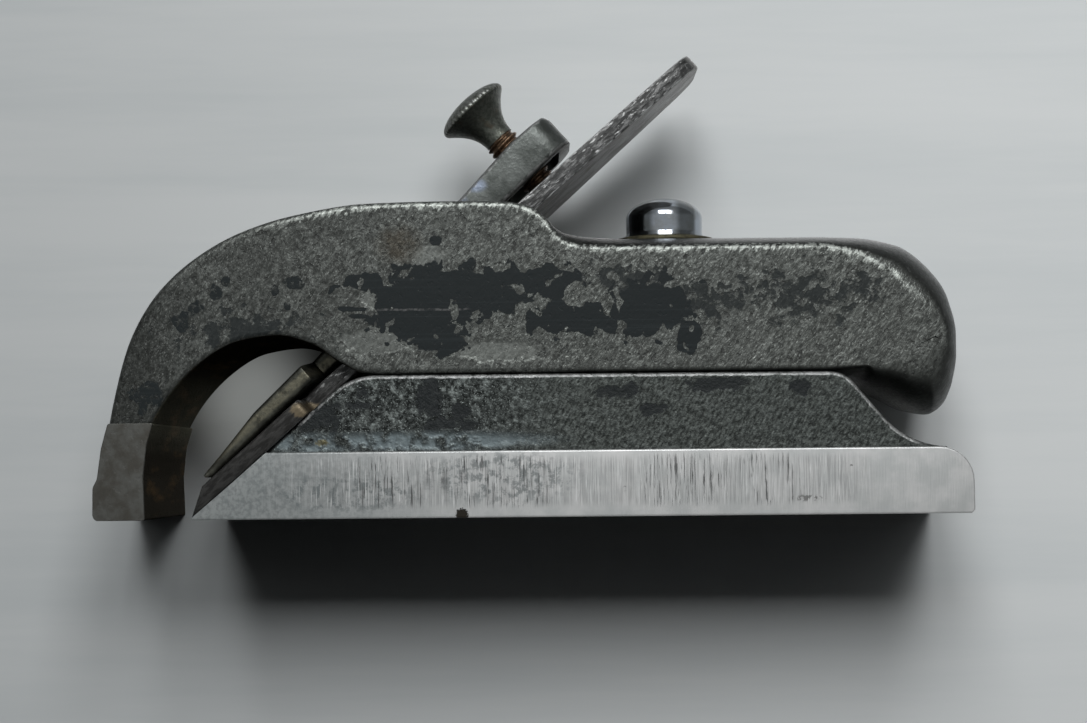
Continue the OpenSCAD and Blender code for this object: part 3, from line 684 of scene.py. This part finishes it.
class Finish:
    """A material under construction, with its place on the object in millimetres."""

    def __init__(self, name):
        self.material = bpy.data.materials.new(name)
        self.material.use_nodes = True
        self.tree = self.material.node_tree
        self.shader = self.tree.nodes["Principled BSDF"]
        self.mm = self.add("Mapping", {0: self.add("TexCoord", {}, "Object"), "Scale": (1000, 1000, 1000)})
        self.x, self.y, self.z = (self.add("SeparateXYZ", {0: self.mm}, axis) for axis in "XYZ")
        normal = self.add("NewGeometry", {}, "Normal")
        self.side = abs(self.add("SeparateXYZ", {0: normal}, "Y"))
        self.up = self.add("SeparateXYZ", {0: normal}, "Z")
        self.near = self.y.span(-11.6, -12.1)

    def add(self, *node, **settings):
        return add(self.tree, *node, **settings)

    def noise(self, scale, detail=4, roughness=0.6, stretch=(1, 1, 1), shift=(0, 0, 0), distortion=0.0,
              lean=0.0):
        """Noise with its place leaned over, stretched and shifted, in that order."""
        place = self.add("Mapping", {0: self.mm, "Rotation": (0, lean, 0)}) if lean else self.mm
        place = self.add("Mapping", {0: place, "Scale": stretch, "Location": shift})
        inputs = {"Scale": scale, "Detail": detail, "Roughness": roughness, "Distortion": distortion}
        return self.add("TexNoise", {"Vector": place, **inputs})

    def spots(self, *places):
        """Closeness to the nearest of a few ellipses in side view: 1 at a centre, 0 at a rim, then less."""
        nearest = None
        for x, z, wide, high in places:
            inputs = {"Location": (-x / wide, 0, -z / high), "Scale": (1 / wide, 0, 1 / high)}
            offset = self.add("Mapping", {0: self.mm, **inputs})
            away = self.add("VectorMath", {0: offset}, "Value", operation="LENGTH")
            nearest = nearest & away if nearest else away
        return 1.0 - nearest

    def worn(self, grain, start=0.35):
        """Rubbed edges: the wear value of the mesh, broken up by a grain."""
        wear = self.add("Attribute", {}, "Fac", attribute_name="wear")
        return (wear + (grain - 0.5) * 3.0).span(start, 1.1) * wear.span(0.1, 0.45)

    def finish(self, color, roughness, metallic, height=None, depth=0.0, specular=0.5):
        """The finished material, with a relief of the height times the depth in millimetres."""
        inputs = {"Base Color": color, "Roughness": roughness, "Metallic": metallic}
        inputs["Specular IOR Level"] = specular
        if height is not None:
            inputs["Normal"] = self.add("Bump", {"Height": height, "Distance": depth * MM, "Strength": 1.0})
        for key, value in inputs.items():
            feed(self.tree, self.shader.inputs[key], value)
        print(self.material.name, "has", len(self.tree.nodes), "nodes")
        return self.material


def finish_piece(piece, node, body, slot, paint, crease=32):
    """Stands the piece for its CAD node, shades it smooth up to a crease angle and gives its finish."""
    mesh = piece.data
    mesh.polygons.foreach_set("use_smooth", np.ones(len(mesh.polygons), bool))
    mesh.set_sharp_from_angle(angle=np.radians(crease))
    mesh.materials.clear()
    mesh.materials.append(paint(Finish(slot)))
    mesh.polygons.foreach_set("material_index", np.zeros(len(mesh.polygons), np.int32))
    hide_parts(node)
    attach(piece, body)
    corners = np.array(piece.bound_box) / MM
    print(piece.name, "from", np.round(corners.min(0), 2), "to", np.round(corners.max(0), 2))


def iron_grey(value, red=0.955, blue=0.945):
    """Grey of bare iron, a little green: the red and blue are a share of the green."""
    return (red * value, value, blue * value)


def rough_grey(value):
    """Grey of the sole's rough face, greener and bluer."""
    return iron_grey(value, 0.91, 0.97)


def grey(value, warm=0.0):
    """Colour of one lightness, a little warmer or cooler."""
    return (value * (1 + warm), value, value * (1 - warm))


print("bare iron at a tenth:", np.round(iron_grey(0.1), 4), "and rough:", np.round(rough_grey(0.1), 4))

# %% [markdown]
# ## Iron with worn japanning
# The upper casting was japanned black. Most of it has worn off and left pitted grey iron that glints, with
# blue-black islands in the middle of the sides. The islands come from a few ellipses whose rims are broken by
# noise. The ground nose band is smoother, and the inside of the throat is dark and rusty, with painted light
# on the nose's inner wall and painted shade on the side towards the nose. The upper edges are rubbed bright,
# but only where they face up, so the rub is also a painted highlight, least near the nose.

# %% Upper casting finish
JAPAN_SOLID = [
    (-9.5, 26.2, 11, 3.9), (-13, 23.2, 6.2, 3.6), (-10.4, 21, 4.2, 2.5), (4.2, 22.8, 6.8, 2.2),
    (1.6, 27.4, 5, 2.2), (14, 24.2, 5.4, 4.2), (18, 20.8, 1.8, 2.2), (-19.8, 27.4, 2, 1.2),
    (-40.5, 23, 1.3, 1.2), (-39, 24.5, 1, 0.9), (-36.6, 26.2, 0.9, 1), (-35.5, 27.6, 0.6, 0.7),
    (-29.8, 26.5, 0.6, 0.7), (-27.8, 27.4, 1.3, 1), (-28.4, 24.6, 0.5, 0.6), (-44.7, 14.2, 1.9, 1.9),
    (-20.6, 24.2, 2.4, 0.4), (-20.4, 23.4, 1.6, 0.35), (-11.2, 32, 0.7, 0.6),
]
JAPAN_THIN = [(20.5, 24.6, 5, 3.4), (31, 25.4, 8, 3.8), (11, 27.5, 6, 2.4), (38, 26.2, 4, 2), (-33, 22, 9, 3)]
SMOOTH_SPOTS = [(-18, 20.6, 5, 2.2), (-4, 19.2, 6, 1.6), (-12, 30, 2.4, 2.2), (-17.5, 25.4, 2.6, 1.6)]
STAIN = (-15.4, 31.7, 3.6, 3)
SCORE_Z = 24.1


def japanning(f, grain, coarse):
    """Where the black is left, solid or as a thin film, and its colour with streaks and one long score."""
    lobes = f.noise(0.5, 3, 0.5, distortion=0.5) - 0.5
    chips = f.noise(0.55, 2, 0.45, shift=(1, 5, 8)).span(0.66, 0.68)
    speckle = f.noise(1.7, 3, shift=(6, 1, 6)).span(0.38, 0.5, 0.35, 1.0)
    solid = (f.spots(*JAPAN_SOLID) * 0.45 + lobes).span(0.06, 0.09) * (1.0 - chips)
    solid = solid * (speckle | f.x.span(-26, -23))
    broken = f.noise(0.7, 5, 0.62, shift=(2, 8, 3), distortion=0.3) - 0.5
    film = (f.spots(*JAPAN_THIN) * 0.22 + broken).span(0.06, 0.16, 0.0, 0.8)
    streak = f.noise(1.0, 2, 0.5, stretch=(0.03, 1, 3.2))
    black = streak.blend(0.55, 0.74, (0.006, 0.009, 0.01), (0.018, 0.023, 0.025), 0.5)
    line = abs(f.z - SCORE_Z + (coarse - 0.5) * 0.35)
    score = line.span(0.16, 0.08) * f.x.span(-18.8, -17.5) * f.x.span(-7, -8) * f.near
    black = (score * grain.span(0.35, 0.6, 0.1, 0.9)).mix(black, grey(0.09))
    return (solid | film) * f.side.span(0.5, 0.9), black


def upper_iron(f):
    """Iron, throat with painted light on the nose wall, painted shade towards the nose, dark rear, japanning,
    nose band and rubbed edges that are a painted highlight where they face up, each laid over the one before.
    """
    grain = f.noise(3.0, 3, stretch=(1, 1, 0.42), lean=LEAN)
    fine = f.noise(6.5, 1, 0.5, stretch=(1, 1, 0.4), lean=LEAN)
    coarse = f.noise(0.75, 3, 0.55, shift=(3, 6, 1))
    pits = f.noise(1.5, 2, 0.5, shift=(9, 3, 5)).span(0.6, 0.7)
    base = grain.blend(0.34, 0.68, iron_grey(0.04), iron_grey(0.096))
    lighter = grain.blend(0.38, 0.64, iron_grey(0.065), iron_grey(0.14))
    base = coarse.blend(0.35, 0.62, base, lighter, 0.55)
    base = fine.blend(0.6, 0.74, base, iron_grey(0.23), 0.7)
    base = (pits * 0.5).mix(base, iron_grey(0.025))
    base = f.noise(0.16, 3, 0.55).blend(0.4, 0.65, base, iron_grey(0.062), 0.45)
    smooth = (f.spots(*SMOOTH_SPOTS) + coarse - 0.5).span(0.0, 0.35)
    base = (smooth * 0.7).mix(base, grain.blend(0.3, 0.7, iron_grey(0.1), iron_grey(0.15)))
    stain = f.spots(STAIN).span(0, 0.7) * coarse.span(0.3, 0.6, 0.4, 0.8)
    base = stain.mix(base, (0.05, 0.043, 0.033))

    inside = f.side.span(0.75, 0.35) * f.z.span(22.2, 21.4) * f.x.span(-19, -22) * f.x.span(-46.4, -45.4)
    rust = f.noise(0.42, stretch=(1, 0.22, 1), shift=(4, 8, 1)).span(0.5, 0.72, 0.0, 0.8)
    # Painted light: the nose's inner wall, which faces down, gets lighter colours from 7 to 18 mm up.
    painted_light_nose_wall = f.z.span(7, 11) * f.z.span(18.5, 15) * f.x.span(-36, -40)
    lining = painted_light_nose_wall.mix(rust.mix((0.046, 0.042, 0.034), (0.125, 0.086, 0.048)),
                      rust.mix((0.13, 0.128, 0.1), (0.25, 0.2, 0.14)))
    base = inside.mix(base, lining)
    shade = f.x.span(-8, -30, 0.0, 0.2) + f.x.span(-38, -46, 0.0, 0.3)
    base = shade.mix(base, grey(0))
    rear = f.side.span(0.93, 0.75) * f.x.span(-1, 6)
    base = (rear * 0.9).mix(base, coarse.blend(0.35, 0.65, iron_grey(0.021), iron_grey(0.034)))

    japan, black = japanning(f, grain, coarse)
    base = japan.mix(base, black)
    band = f.x.span(-42.8, -43.2) * f.z.span(11.3, 11.1) * abs(f.y).span(12.3, 12.5)
    base = band.mix(base, f.noise(0.5).blend(0.35, 0.65, (0.056, 0.053, 0.047), (0.082, 0.082, 0.077)))
    worn = f.worn(f.noise(2.4, stretch=(1, 1, 0.4), shift=(2, 2, 2), lean=LEAN), 0.55)
    # Painted highlight: the rubbed edges are made bright only where they face up, and less so towards the
    # nose.
    upward = (f.up.span(0.1, 0.5) | f.z.span(24, 28)) * f.x.span(-37, -21, 0.12, 1.0)
    color = (worn * upward * 0.85).mix(base, iron_grey(0.35))

    calm = japan | band | rear | smooth * 0.6
    height = (grain * 0.8 + fine * 0.2 + coarse * 0.7 - pits * 0.4) * calm.span(0, 1, 1.0, 0.15) + japan * 0.6
    rough = grain.span(0.3, 0.7, 0.56, 0.42) - rear * 0.06 + inside * 0.4
    metal = (japan | inside | pits).span(0, 1, 0.9, 0.0)
    return f.finish(color, rough, metal, height, 0.15, inside.span(0, 1, 0.18, 0.0))


finish_piece(upper, "top_casting", "upper_body", "upper_iron", upper_iron)

# %% [markdown]
# ## Sole finish
# The bands were ground bright and have short upright scratches from use. The rough face above them is dark
# and mottled in front and evenly grained behind, with a smear of pale paint along the band, and its upper
# edge is rubbed to a thin bright line.

# %% Sole finish
DARK_SPOTS = [
    (-19.6, 14.6, 0.9, 1.2), (-8.4, 12.2, 1, 0.8), (-12, 13.6, 1.2, 2.4), (-10, 10.8, 3, 0.9),
    (-26, 11.6, 3.4, 2), (-20, 13, 2.6, 0.7), (9.7, 14.4, 2.2, 0.8), (21.8, 15, 3.4, 0.8),
    (30.8, 14.6, 1, 1.1), (14, 12.4, 1.6, 0.6),
]
PAINT_SPOTS = [(-13, 8.9, 12, 0.9), (-25, 8.8, 5, 0.9)]
YELLOW_SPOT = (-24.4, 8.8, 1.1, 0.6)
MOTTLED_SPOTS = [(-4, 4.6, 12, 4), (-22, 3, 12, 3)]
SCRATCH_SPOTS = [(-4.5, 4.4, 6, 9), (18, 5, 5, 9), (-17, 4, 5, 8), (27, 5, 4, 8)]
MARK_SPOTS = [(31.5, 1.9, 2.4, 0.5), (36.6, 5.6, 0.25, 0.25), (10.5, 3.2, 0.3, 0.4)]
NICK = (-8.3, 0.35, 0.8, 0.8)


def rough_face(f, grain, fine, lumps, dark):
    """Mottled face with dark spots, paint and one yellow spot, and how much paint there is."""
    face = grain.blend(0.4, 0.66, rough_grey(0.012), rough_grey(0.062))
    lighter = grain.blend(0.42, 0.62, rough_grey(0.06), rough_grey(0.17))
    face = lumps.blend(0.5, 0.62, face, lighter, 0.75)
    face = fine.blend(0.58, 0.72, face, rough_grey(0.3), 0.85)
    streaks = f.noise(3.2, 3, stretch=(1, 1, 0.42), lean=LEAN)
    even = streaks.blend(0.36, 0.68, iron_grey(0.02, 0.92), iron_grey(0.092, 0.92))
    face = f.x.blend(-8, 6, face, even, 0.75)
    face = (dark * 0.92).mix(face, (0.005, 0.007, 0.008))
    paint = f.spots(*PAINT_SPOTS).span(-0.6, 0.5) * f.noise(0.4, 3, 0.55).span(0.33, 0.54)
    face = (paint * 0.85).mix(face, (0.128, 0.153, 0.163))
    yellow = (f.spots(YELLOW_SPOT) + (grain - 0.5) * 2.5).span(0.2, 0.7, 0.0, 0.6)
    face = (yellow * f.near).mix(face, (0.11, 0.085, 0.025))
    worn = f.worn(f.noise(1.3, shift=(2, 7, 2)), 0.2) * f.z.span(7.7, 8.4, 0.0, 0.6)
    return worn.mix(face, grey(0.4)), paint


def ground_band(f, grain, fine):
    """Bright band, darker towards the nose, with mottling, scratches and a nick, and its relief."""
    cloud = f.noise(0.3, shift=(1, 9, 4))
    band = cloud.blend(0.3, 0.7, (0.38, 0.385, 0.385), (0.475, 0.47, 0.47))
    darker_front = grain.blend(0.36, 0.62, (0.11, 0.124, 0.126), (0.2, 0.214, 0.214))
    band = f.x.blend(-2, -34, band, darker_front, 0.8)
    mottle = f.spots(*MOTTLED_SPOTS).span(0, 0.6) * f.noise(1.1, 5, 0.68, shift=(7, 2, 2)).span(0.46, 0.6)
    band = (mottle * 0.75).mix(band, (0.1, 0.115, 0.118))
    within = f.x.span(-32, -22) * f.x.span(41, 35) * f.z.span(0.8, 2) * f.z.span(7.4, 6.2)
    groups = f.spots(*SCRATCH_SPOTS) + f.noise(0.2, 2, 0.5, stretch=(1, 0.2, 0.8), shift=(3, 0, 0))
    scratch = f.noise(1.0, 3, stretch=(6, 1, 0.2)).span(0.59, 0.65) * within
    scratch = scratch * groups.span(0.35, 0.9, 0.12, 1.0)
    band = (scratch * 0.85).mix(band, grey(0.05))
    hair = f.noise(1.0, 2, 0.5, stretch=(11, 1, 0.25), shift=(0, 4, 0)).span(0.4, 0.62, 0.0, 0.45)
    band = (hair * within).mix(band, grey(0.2))
    shine = f.noise(1.0, 3, stretch=(7, 1, 0.22), shift=(5, 1, 2)).span(0.58, 0.66)
    band = (shine * within * 0.6).mix(band, grey(0.62))
    marks = f.spots(*MARK_SPOTS).span(0, 0.6) * grain.span(0.48, 0.54) * f.near * 0.6
    nick = (f.spots(NICK) + (fine - 0.5) * 0.8).span(0.05, 0.25) * f.near
    band = (nick | marks).mix(band, (0.025, 0.022, 0.018))
    return band, f.noise(1.0, 3, 0.5, stretch=(5, 1, 0.4)) * 0.16 - scratch * 0.4 - nick * 2.0


def sole_iron(f):
    """The ground band where the metal is bare, and the rough face elsewhere."""
    grain = f.noise(1.7, 4, 0.62, shift=(3, 1, 7))
    fine = f.noise(5.0, 2)
    lumps = f.noise(0.85, 3, 0.55, shift=(5, 5, 5))
    blotch = f.noise(0.42, 5, shift=(5, 2, 5)) - 0.5 + (grain - 0.5) * 0.6
    dark = (f.spots(*DARK_SPOTS) * 0.3 + blotch).span(-0.04, 0.06)
    face, paint = rough_face(f, grain, fine, lumps, dark)
    band, brushed = ground_band(f, grain, fine)
    bare = f.z.span(7.8, 7.65) * abs(f.y).span(12.25, 12.4) | f.z.span(0.3, 0.15)
    pitted = (grain + fine * 0.25 + lumps * 0.8 - dark * 0.3) * paint.span(0, 1, 1.0, 0.3)
    height = f.add("Mix", {0: bare, 2: pitted, 3: brushed}, data_type="FLOAT")
    metal = (dark * (1.0 - bare)).span(0, 1, 0.9, 0.1)
    return f.finish(bare.mix(face, band), bare.span(0, 1, 0.5, 0.45), metal, height, 0.14, 0.2)


finish_piece(sole, "sole_casting", "sole_body", "sole_iron", sole_iron)

# %% [markdown]
# ## Cutter, cap and screws
# The cutter is dull dark steel with lighter streaks along its rough edge, rust at the shoulder and a paler,
# stained back. The cap is dark satin iron with a tan stain where shavings rub it. The thumbscrew is worn to
# a grey green, the stud is brown with rust, and the clamp screw is polished, with two dark strips down its
# sides as a painted reflection of the dark room and a brown foot as a painted reflection of its washer. The
# washer is tarnished brass.

# %% Finishes of the small pieces
def cutter_steel(f):
    along = BED_ANGLE - np.pi / 2
    grain = f.noise(2.2, 4, 0.65, stretch=(1, 1, 0.25), lean=along)
    streaks = f.noise(2.6, 3, stretch=(1, 1, 0.3), shift=(1, 1, 4), lean=along)
    edge = streaks.blend(0.58, 0.72, grain.blend(0.42, 0.7, grey(0.028), grey(0.1)), grey(0.28))
    back = f.noise(0.35, shift=(6, 1, 1)).blend(0.35, 0.65, grey(0.26, 0.01), grey(0.14, 0.04))
    back = f.noise(0.5, 5, 0.65, shift=(2, 3, 9)).blend(0.54, 0.7, back, (0.07, 0.055, 0.035), 0.7)
    color = f.side.blend(0.5, 0.8, back, edge)
    low = f.z.span(18, 13) * f.side.span(0.3, 0.7) * 0.96
    color = low.mix(color, grain.blend(0.4, 0.6, grey(0.014, 0.04), grey(0.032, 0.03)))
    rust = (f.spots((-26.2, 12.6, 2.2, 1.3)) + grain - 0.5).span(0.1, 0.4) * abs(f.y).span(8.6, 9.4)
    color = rust.mix(color, (0.105, 0.084, 0.056))
    color = (f.worn(f.noise(1.5)) * f.z.span(20, 34, 0.05, 0.7)).mix(color, grey(0.45))
    height = grain * f.z.span(13, 20, 0.4, 1.0)
    return f.finish(color, grain.span(0.3, 0.7, 0.55, 0.4), 0.85, height, 0.14)


def cap_iron(f):
    grain = f.noise(1.8, shift=(8, 8, 1))
    cloud = f.noise(0.4, shift=(1, 2, 3))
    tail = cloud.blend(0.35, 0.65, (0.045, 0.049, 0.046), (0.09, 0.096, 0.092))
    blue = f.spots((-6.6, 39.4, 1.5, 1), (-9.2, 37.4, 1.8, 1.3)).span(-0.1, 0.6)
    blue = blue * cloud.span(0.3, 0.5) * f.side.span(0.5, 0.9) * 0.8
    tail = blue.mix(tail, (0.16, 0.185, 0.24))
    nose = f.noise(0.8).blend(0.35, 0.65, (0.023, 0.023, 0.019), (0.056, 0.056, 0.046))
    over = f.z * float(np.cos(BED_ANGLE)) - (f.x - EDGE_X) * float(np.sin(BED_ANGLE))
    strip = f.noise(1.1, 5, 0.65, shift=(4, 4, 4)).span(0.36, 0.56, 0.2, 0.9)
    nose = (strip * over.span(2.9, 3.3) * over.span(4.3, 3.9)).mix(nose, (0.107, 0.1, 0.074))
    color = f.z.blend(18, 26, nose, tail)
    color = (f.worn(f.noise(1.3)) * f.z.span(22, 34, 0.0, 0.45)).mix(color, grey(0.35))
    return f.finish(color, grain.span(0.3, 0.7, 0.5, 0.38), 0.85, grain, 0.05)


def thumbscrew_steel(f):
    grain = f.noise(2.2)
    base = grain.blend(0.35, 0.65, (0.055, 0.059, 0.051), (0.115, 0.121, 0.106))
    base = f.noise(0.7, shift=(3, 3, 3)).blend(0.55, 0.7, base, (0.08, 0.06, 0.04), 0.5)
    color = (f.worn(f.noise(1.6, 4, 0.65), 0.6) * 0.5).mix(base, grey(0.2))
    return f.finish(color, grain.span(0.3, 0.7, 0.48, 0.36), 0.9, grain, 0.05)


def stud_steel(f):
    grain = f.noise(2.5)
    color = grain.blend(0.4, 0.6, (0.055, 0.034, 0.02), (0.18, 0.115, 0.072))
    return f.finish(color, grain.span(0.3, 0.7, 0.5, 0.36), 0.8, grain, 0.04)


def clamp_steel(f):
    film = f.noise(0.6)
    color = film.blend(0.4, 0.65, (0.38, 0.41, 0.46), (0.3, 0.315, 0.335))
    # Painted reflection: two dark strips down the head's sides, for the dark room mirrored in it.
    off = abs(f.x - (CLAMP_X - 0.2))
    color = (off.span(1.1, 2.0) * off.span(4.0, 3.5) * 0.75).mix(color, (0.045, 0.05, 0.048))
    # Painted reflection: the foot is browned, for the brass washer mirrored in it.
    color = f.z.blend(33.75, 33.45, color, (0.09, 0.078, 0.045), 0.8)
    return f.finish(color, film.span(0.3, 0.7, 0.09, 0.18), 1.0, f.noise(3.0, 3, 0.5), 0.006)


def washer_brass(f):
    grain = f.noise(1.5)
    color = grain.blend(0.35, 0.65, (0.03, 0.028, 0.017), (0.07, 0.063, 0.036))
    return f.finish(color, 0.6, 0.7, grain, 0.05)


finish_piece(iron, "cutter", "cutter_body", "cutter_steel", cutter_steel)
finish_piece(cap, "lever_cap", "cap_body", "cap_iron", cap_iron)
finish_piece(head, "thumbscrew_head", "thumbscrew_body", "thumbscrew_steel", thumbscrew_steel, 40)
finish_piece(stud, "thumbscrew_stud", "stud_body", "stud_steel", stud_steel, 50)
finish_piece(clamp, "clamp_screw", "clamp_body", "clamp_steel", clamp_steel, 40)
finish_piece(washer, "clamp_washer", "sole_body", "washer_brass", washer_brass, 40)

# %% [markdown]
# ## The board, the light and the camera
# The plane lies on its side on a pale board, seen from straight above, so the board is a wall behind it here.
# The board's colour is painted paler to the right, a painted light that falls off to the left. It fades out
# far away and is clear from behind, where the room's pale backdrop shows. Through the throat the camera sees
# a faint glow on it, painted light which lights nothing. The light is a window of two panes, a lamp behind
# the board and a sky that is bright above.

# %% Board
BOARD_Y, BOARD_HALF = 12.75, 1500
GLOW_SPOT = (-36.3, 15, 11, 12)


def board_paint(f):
    grain = f.noise(0.09, 5, 0.65, stretch=(0.08, 1, 1))
    # Painted light: the board is dimmer to the left and paler to the right, as if the light fell off to the
    # left.
    dim = grain.blend(0.3, 0.7, (0.475, 0.494, 0.5016), (0.532, 0.5434, 0.5472))
    pale = grain.blend(0.3, 0.7, (0.67375, 0.6955, 0.7042), (0.739, 0.75205, 0.7564))
    # Painted light: a faint glow on the board behind the throat, seen only by the camera.
    glow = f.spots(GLOW_SPOT).span(0.0, 0.9, 0.0, 0.19) * f.add("LightPath", {}, "Is Camera Ray")
    feed(f.tree, f.shader.inputs["Emission Strength"], glow)
    feed(f.tree, f.shader.inputs["Emission Color"], (0.96, 1, 0.97))
    away = f.add("VectorMath", {0: f.mm}, "Value", operation="LENGTH").span(130, 300)
    gone = f.add("NewGeometry", {}, "Backfacing") | away
    front = Value(f.tree, f.shader.outputs[0])
    either = f.add("MixShader", {0: gone, 1: front, 2: f.add("BsdfTransparent", {})})
    feed(f.tree, f.tree.nodes["Material Output"].inputs["Surface"], either)
    return f.finish(f.x.blend(-90, 90, dim, pale), 1.0, 0.0, specular=0.0)


board_mesh = bpy.data.meshes.new("board")
corners = oblong(-BOARD_HALF, BOARD_HALF, -BOARD_HALF, BOARD_HALF).T
board_mesh.from_pydata(side_view(*corners, np.full(4, BOARD_Y)) * MM, [], [[0, 1, 2, 3]])
board_mesh.materials.append(board_paint(Finish("board_paint")))
board = bpy.data.objects.new("board", board_mesh)
board.visible_shadow = False
bpy.context.scene.collection.objects.link(board)

# %% Lamps
MIDDLE = Vector((0, 0, 0.02))


def lamp(name, place, size, power, color):
    """Oblong soft lamp, aimed at the middle of the plane. Place and size are in metres."""
    light = bpy.data.lights.new(name, "AREA")
    light.shape = "RECTANGLE"
    light.size, light.size_y = size
    light.energy, light.color = power, color
    holder = bpy.data.objects.new(name, light)
    holder.location = place
    holder.rotation_euler = (MIDDLE - Vector(place)).to_track_quat("-Z", "Y").to_euler()
    bpy.context.scene.collection.objects.link(holder)
    print(name, "gives", power, "W from", round((MIDDLE - Vector(place)).length, 2), "m")


lamp("left_pane", (-0.07, -0.45, 0.365), (0.16, 0.34), 1.5, (0.98, 1, 1))
lamp("right_pane", (0.11, -0.45, 0.365), (0.16, 0.34), 1.5, (0.98, 1, 1))
lamp("rear_window", (0.15, 0.7, 0.3), (0.4, 0.4), 6.0, (1, 1, 1))

# %% [markdown]
# The room is dim and gives light from above. The backdrop is what the camera sees, also in and through a
# surface. A ray that has met a dull surface never gets it, so it lights nothing.

# %% Sky and backdrop
world = bpy.data.worlds.new("room")
world.use_nodes = True
bpy.context.scene.world = world
tree = world.node_tree
rise = add(tree, "SeparateXYZ", {0: add(tree, "TexCoord", {}, "Generated")}, "Z")
room = tree.nodes["Background"]
feed(tree, room.inputs["Color"], (0.97, 1, 1))
feed(tree, room.inputs["Strength"], rise.span(0.0, 0.9, 0.01, 0.4))
backdrop = add(tree, "Background", {"Color": (0.97, 1, 0.99), "Strength": rise.span(-0.1, 0.5, 0.6, 0.3)})
camera_ray, glossy_ray, clear_ray, dull_bounces = (
    add(tree, "LightPath", {}, kind)
    for kind in ("Is Camera Ray", "Is Glossy Ray", "Is Transmission Ray", "Diffuse Depth"))
seen = (camera_ray | glossy_ray | clear_ray) - dull_bounces | 0.0
either = add(tree, "MixShader", {0: seen, 1: Value(tree, room.outputs[0]), 2: backdrop})
feed(tree, tree.nodes["World Output"].inputs["Surface"], either)
bpy.context.scene.view_settings.view_transform = "Standard"
print("the room has", len(tree.nodes), "nodes")

# %% Camera
CAMERA_AT = Vector((0.0012, -0.2327, 0.0055))
CAMERA_AIM = Vector((0.00126, -0.0127, 0.0179))
CAMERA_ROLL = np.radians(-0.54)
camera_data = bpy.data.cameras.new("camera")
camera_data.sensor_fit = "HORIZONTAL"
camera_data.sensor_width = 36
camera_data.lens = 63.2
camera_data.clip_start = 0.01
camera = bpy.data.objects.new("camera", camera_data)
camera.location = CAMERA_AT
camera.rotation_mode = "QUATERNION"
aim = (CAMERA_AIM - CAMERA_AT).to_track_quat("-Z", "Y")
camera.rotation_quaternion = aim @ Matrix.Rotation(CAMERA_ROLL, 4, "Z").to_quaternion()
bpy.context.scene.collection.objects.link(camera)
bpy.context.scene.camera = camera
print("the camera stands", round((CAMERA_AIM - CAMERA_AT).length / MM), "mm from the near side")
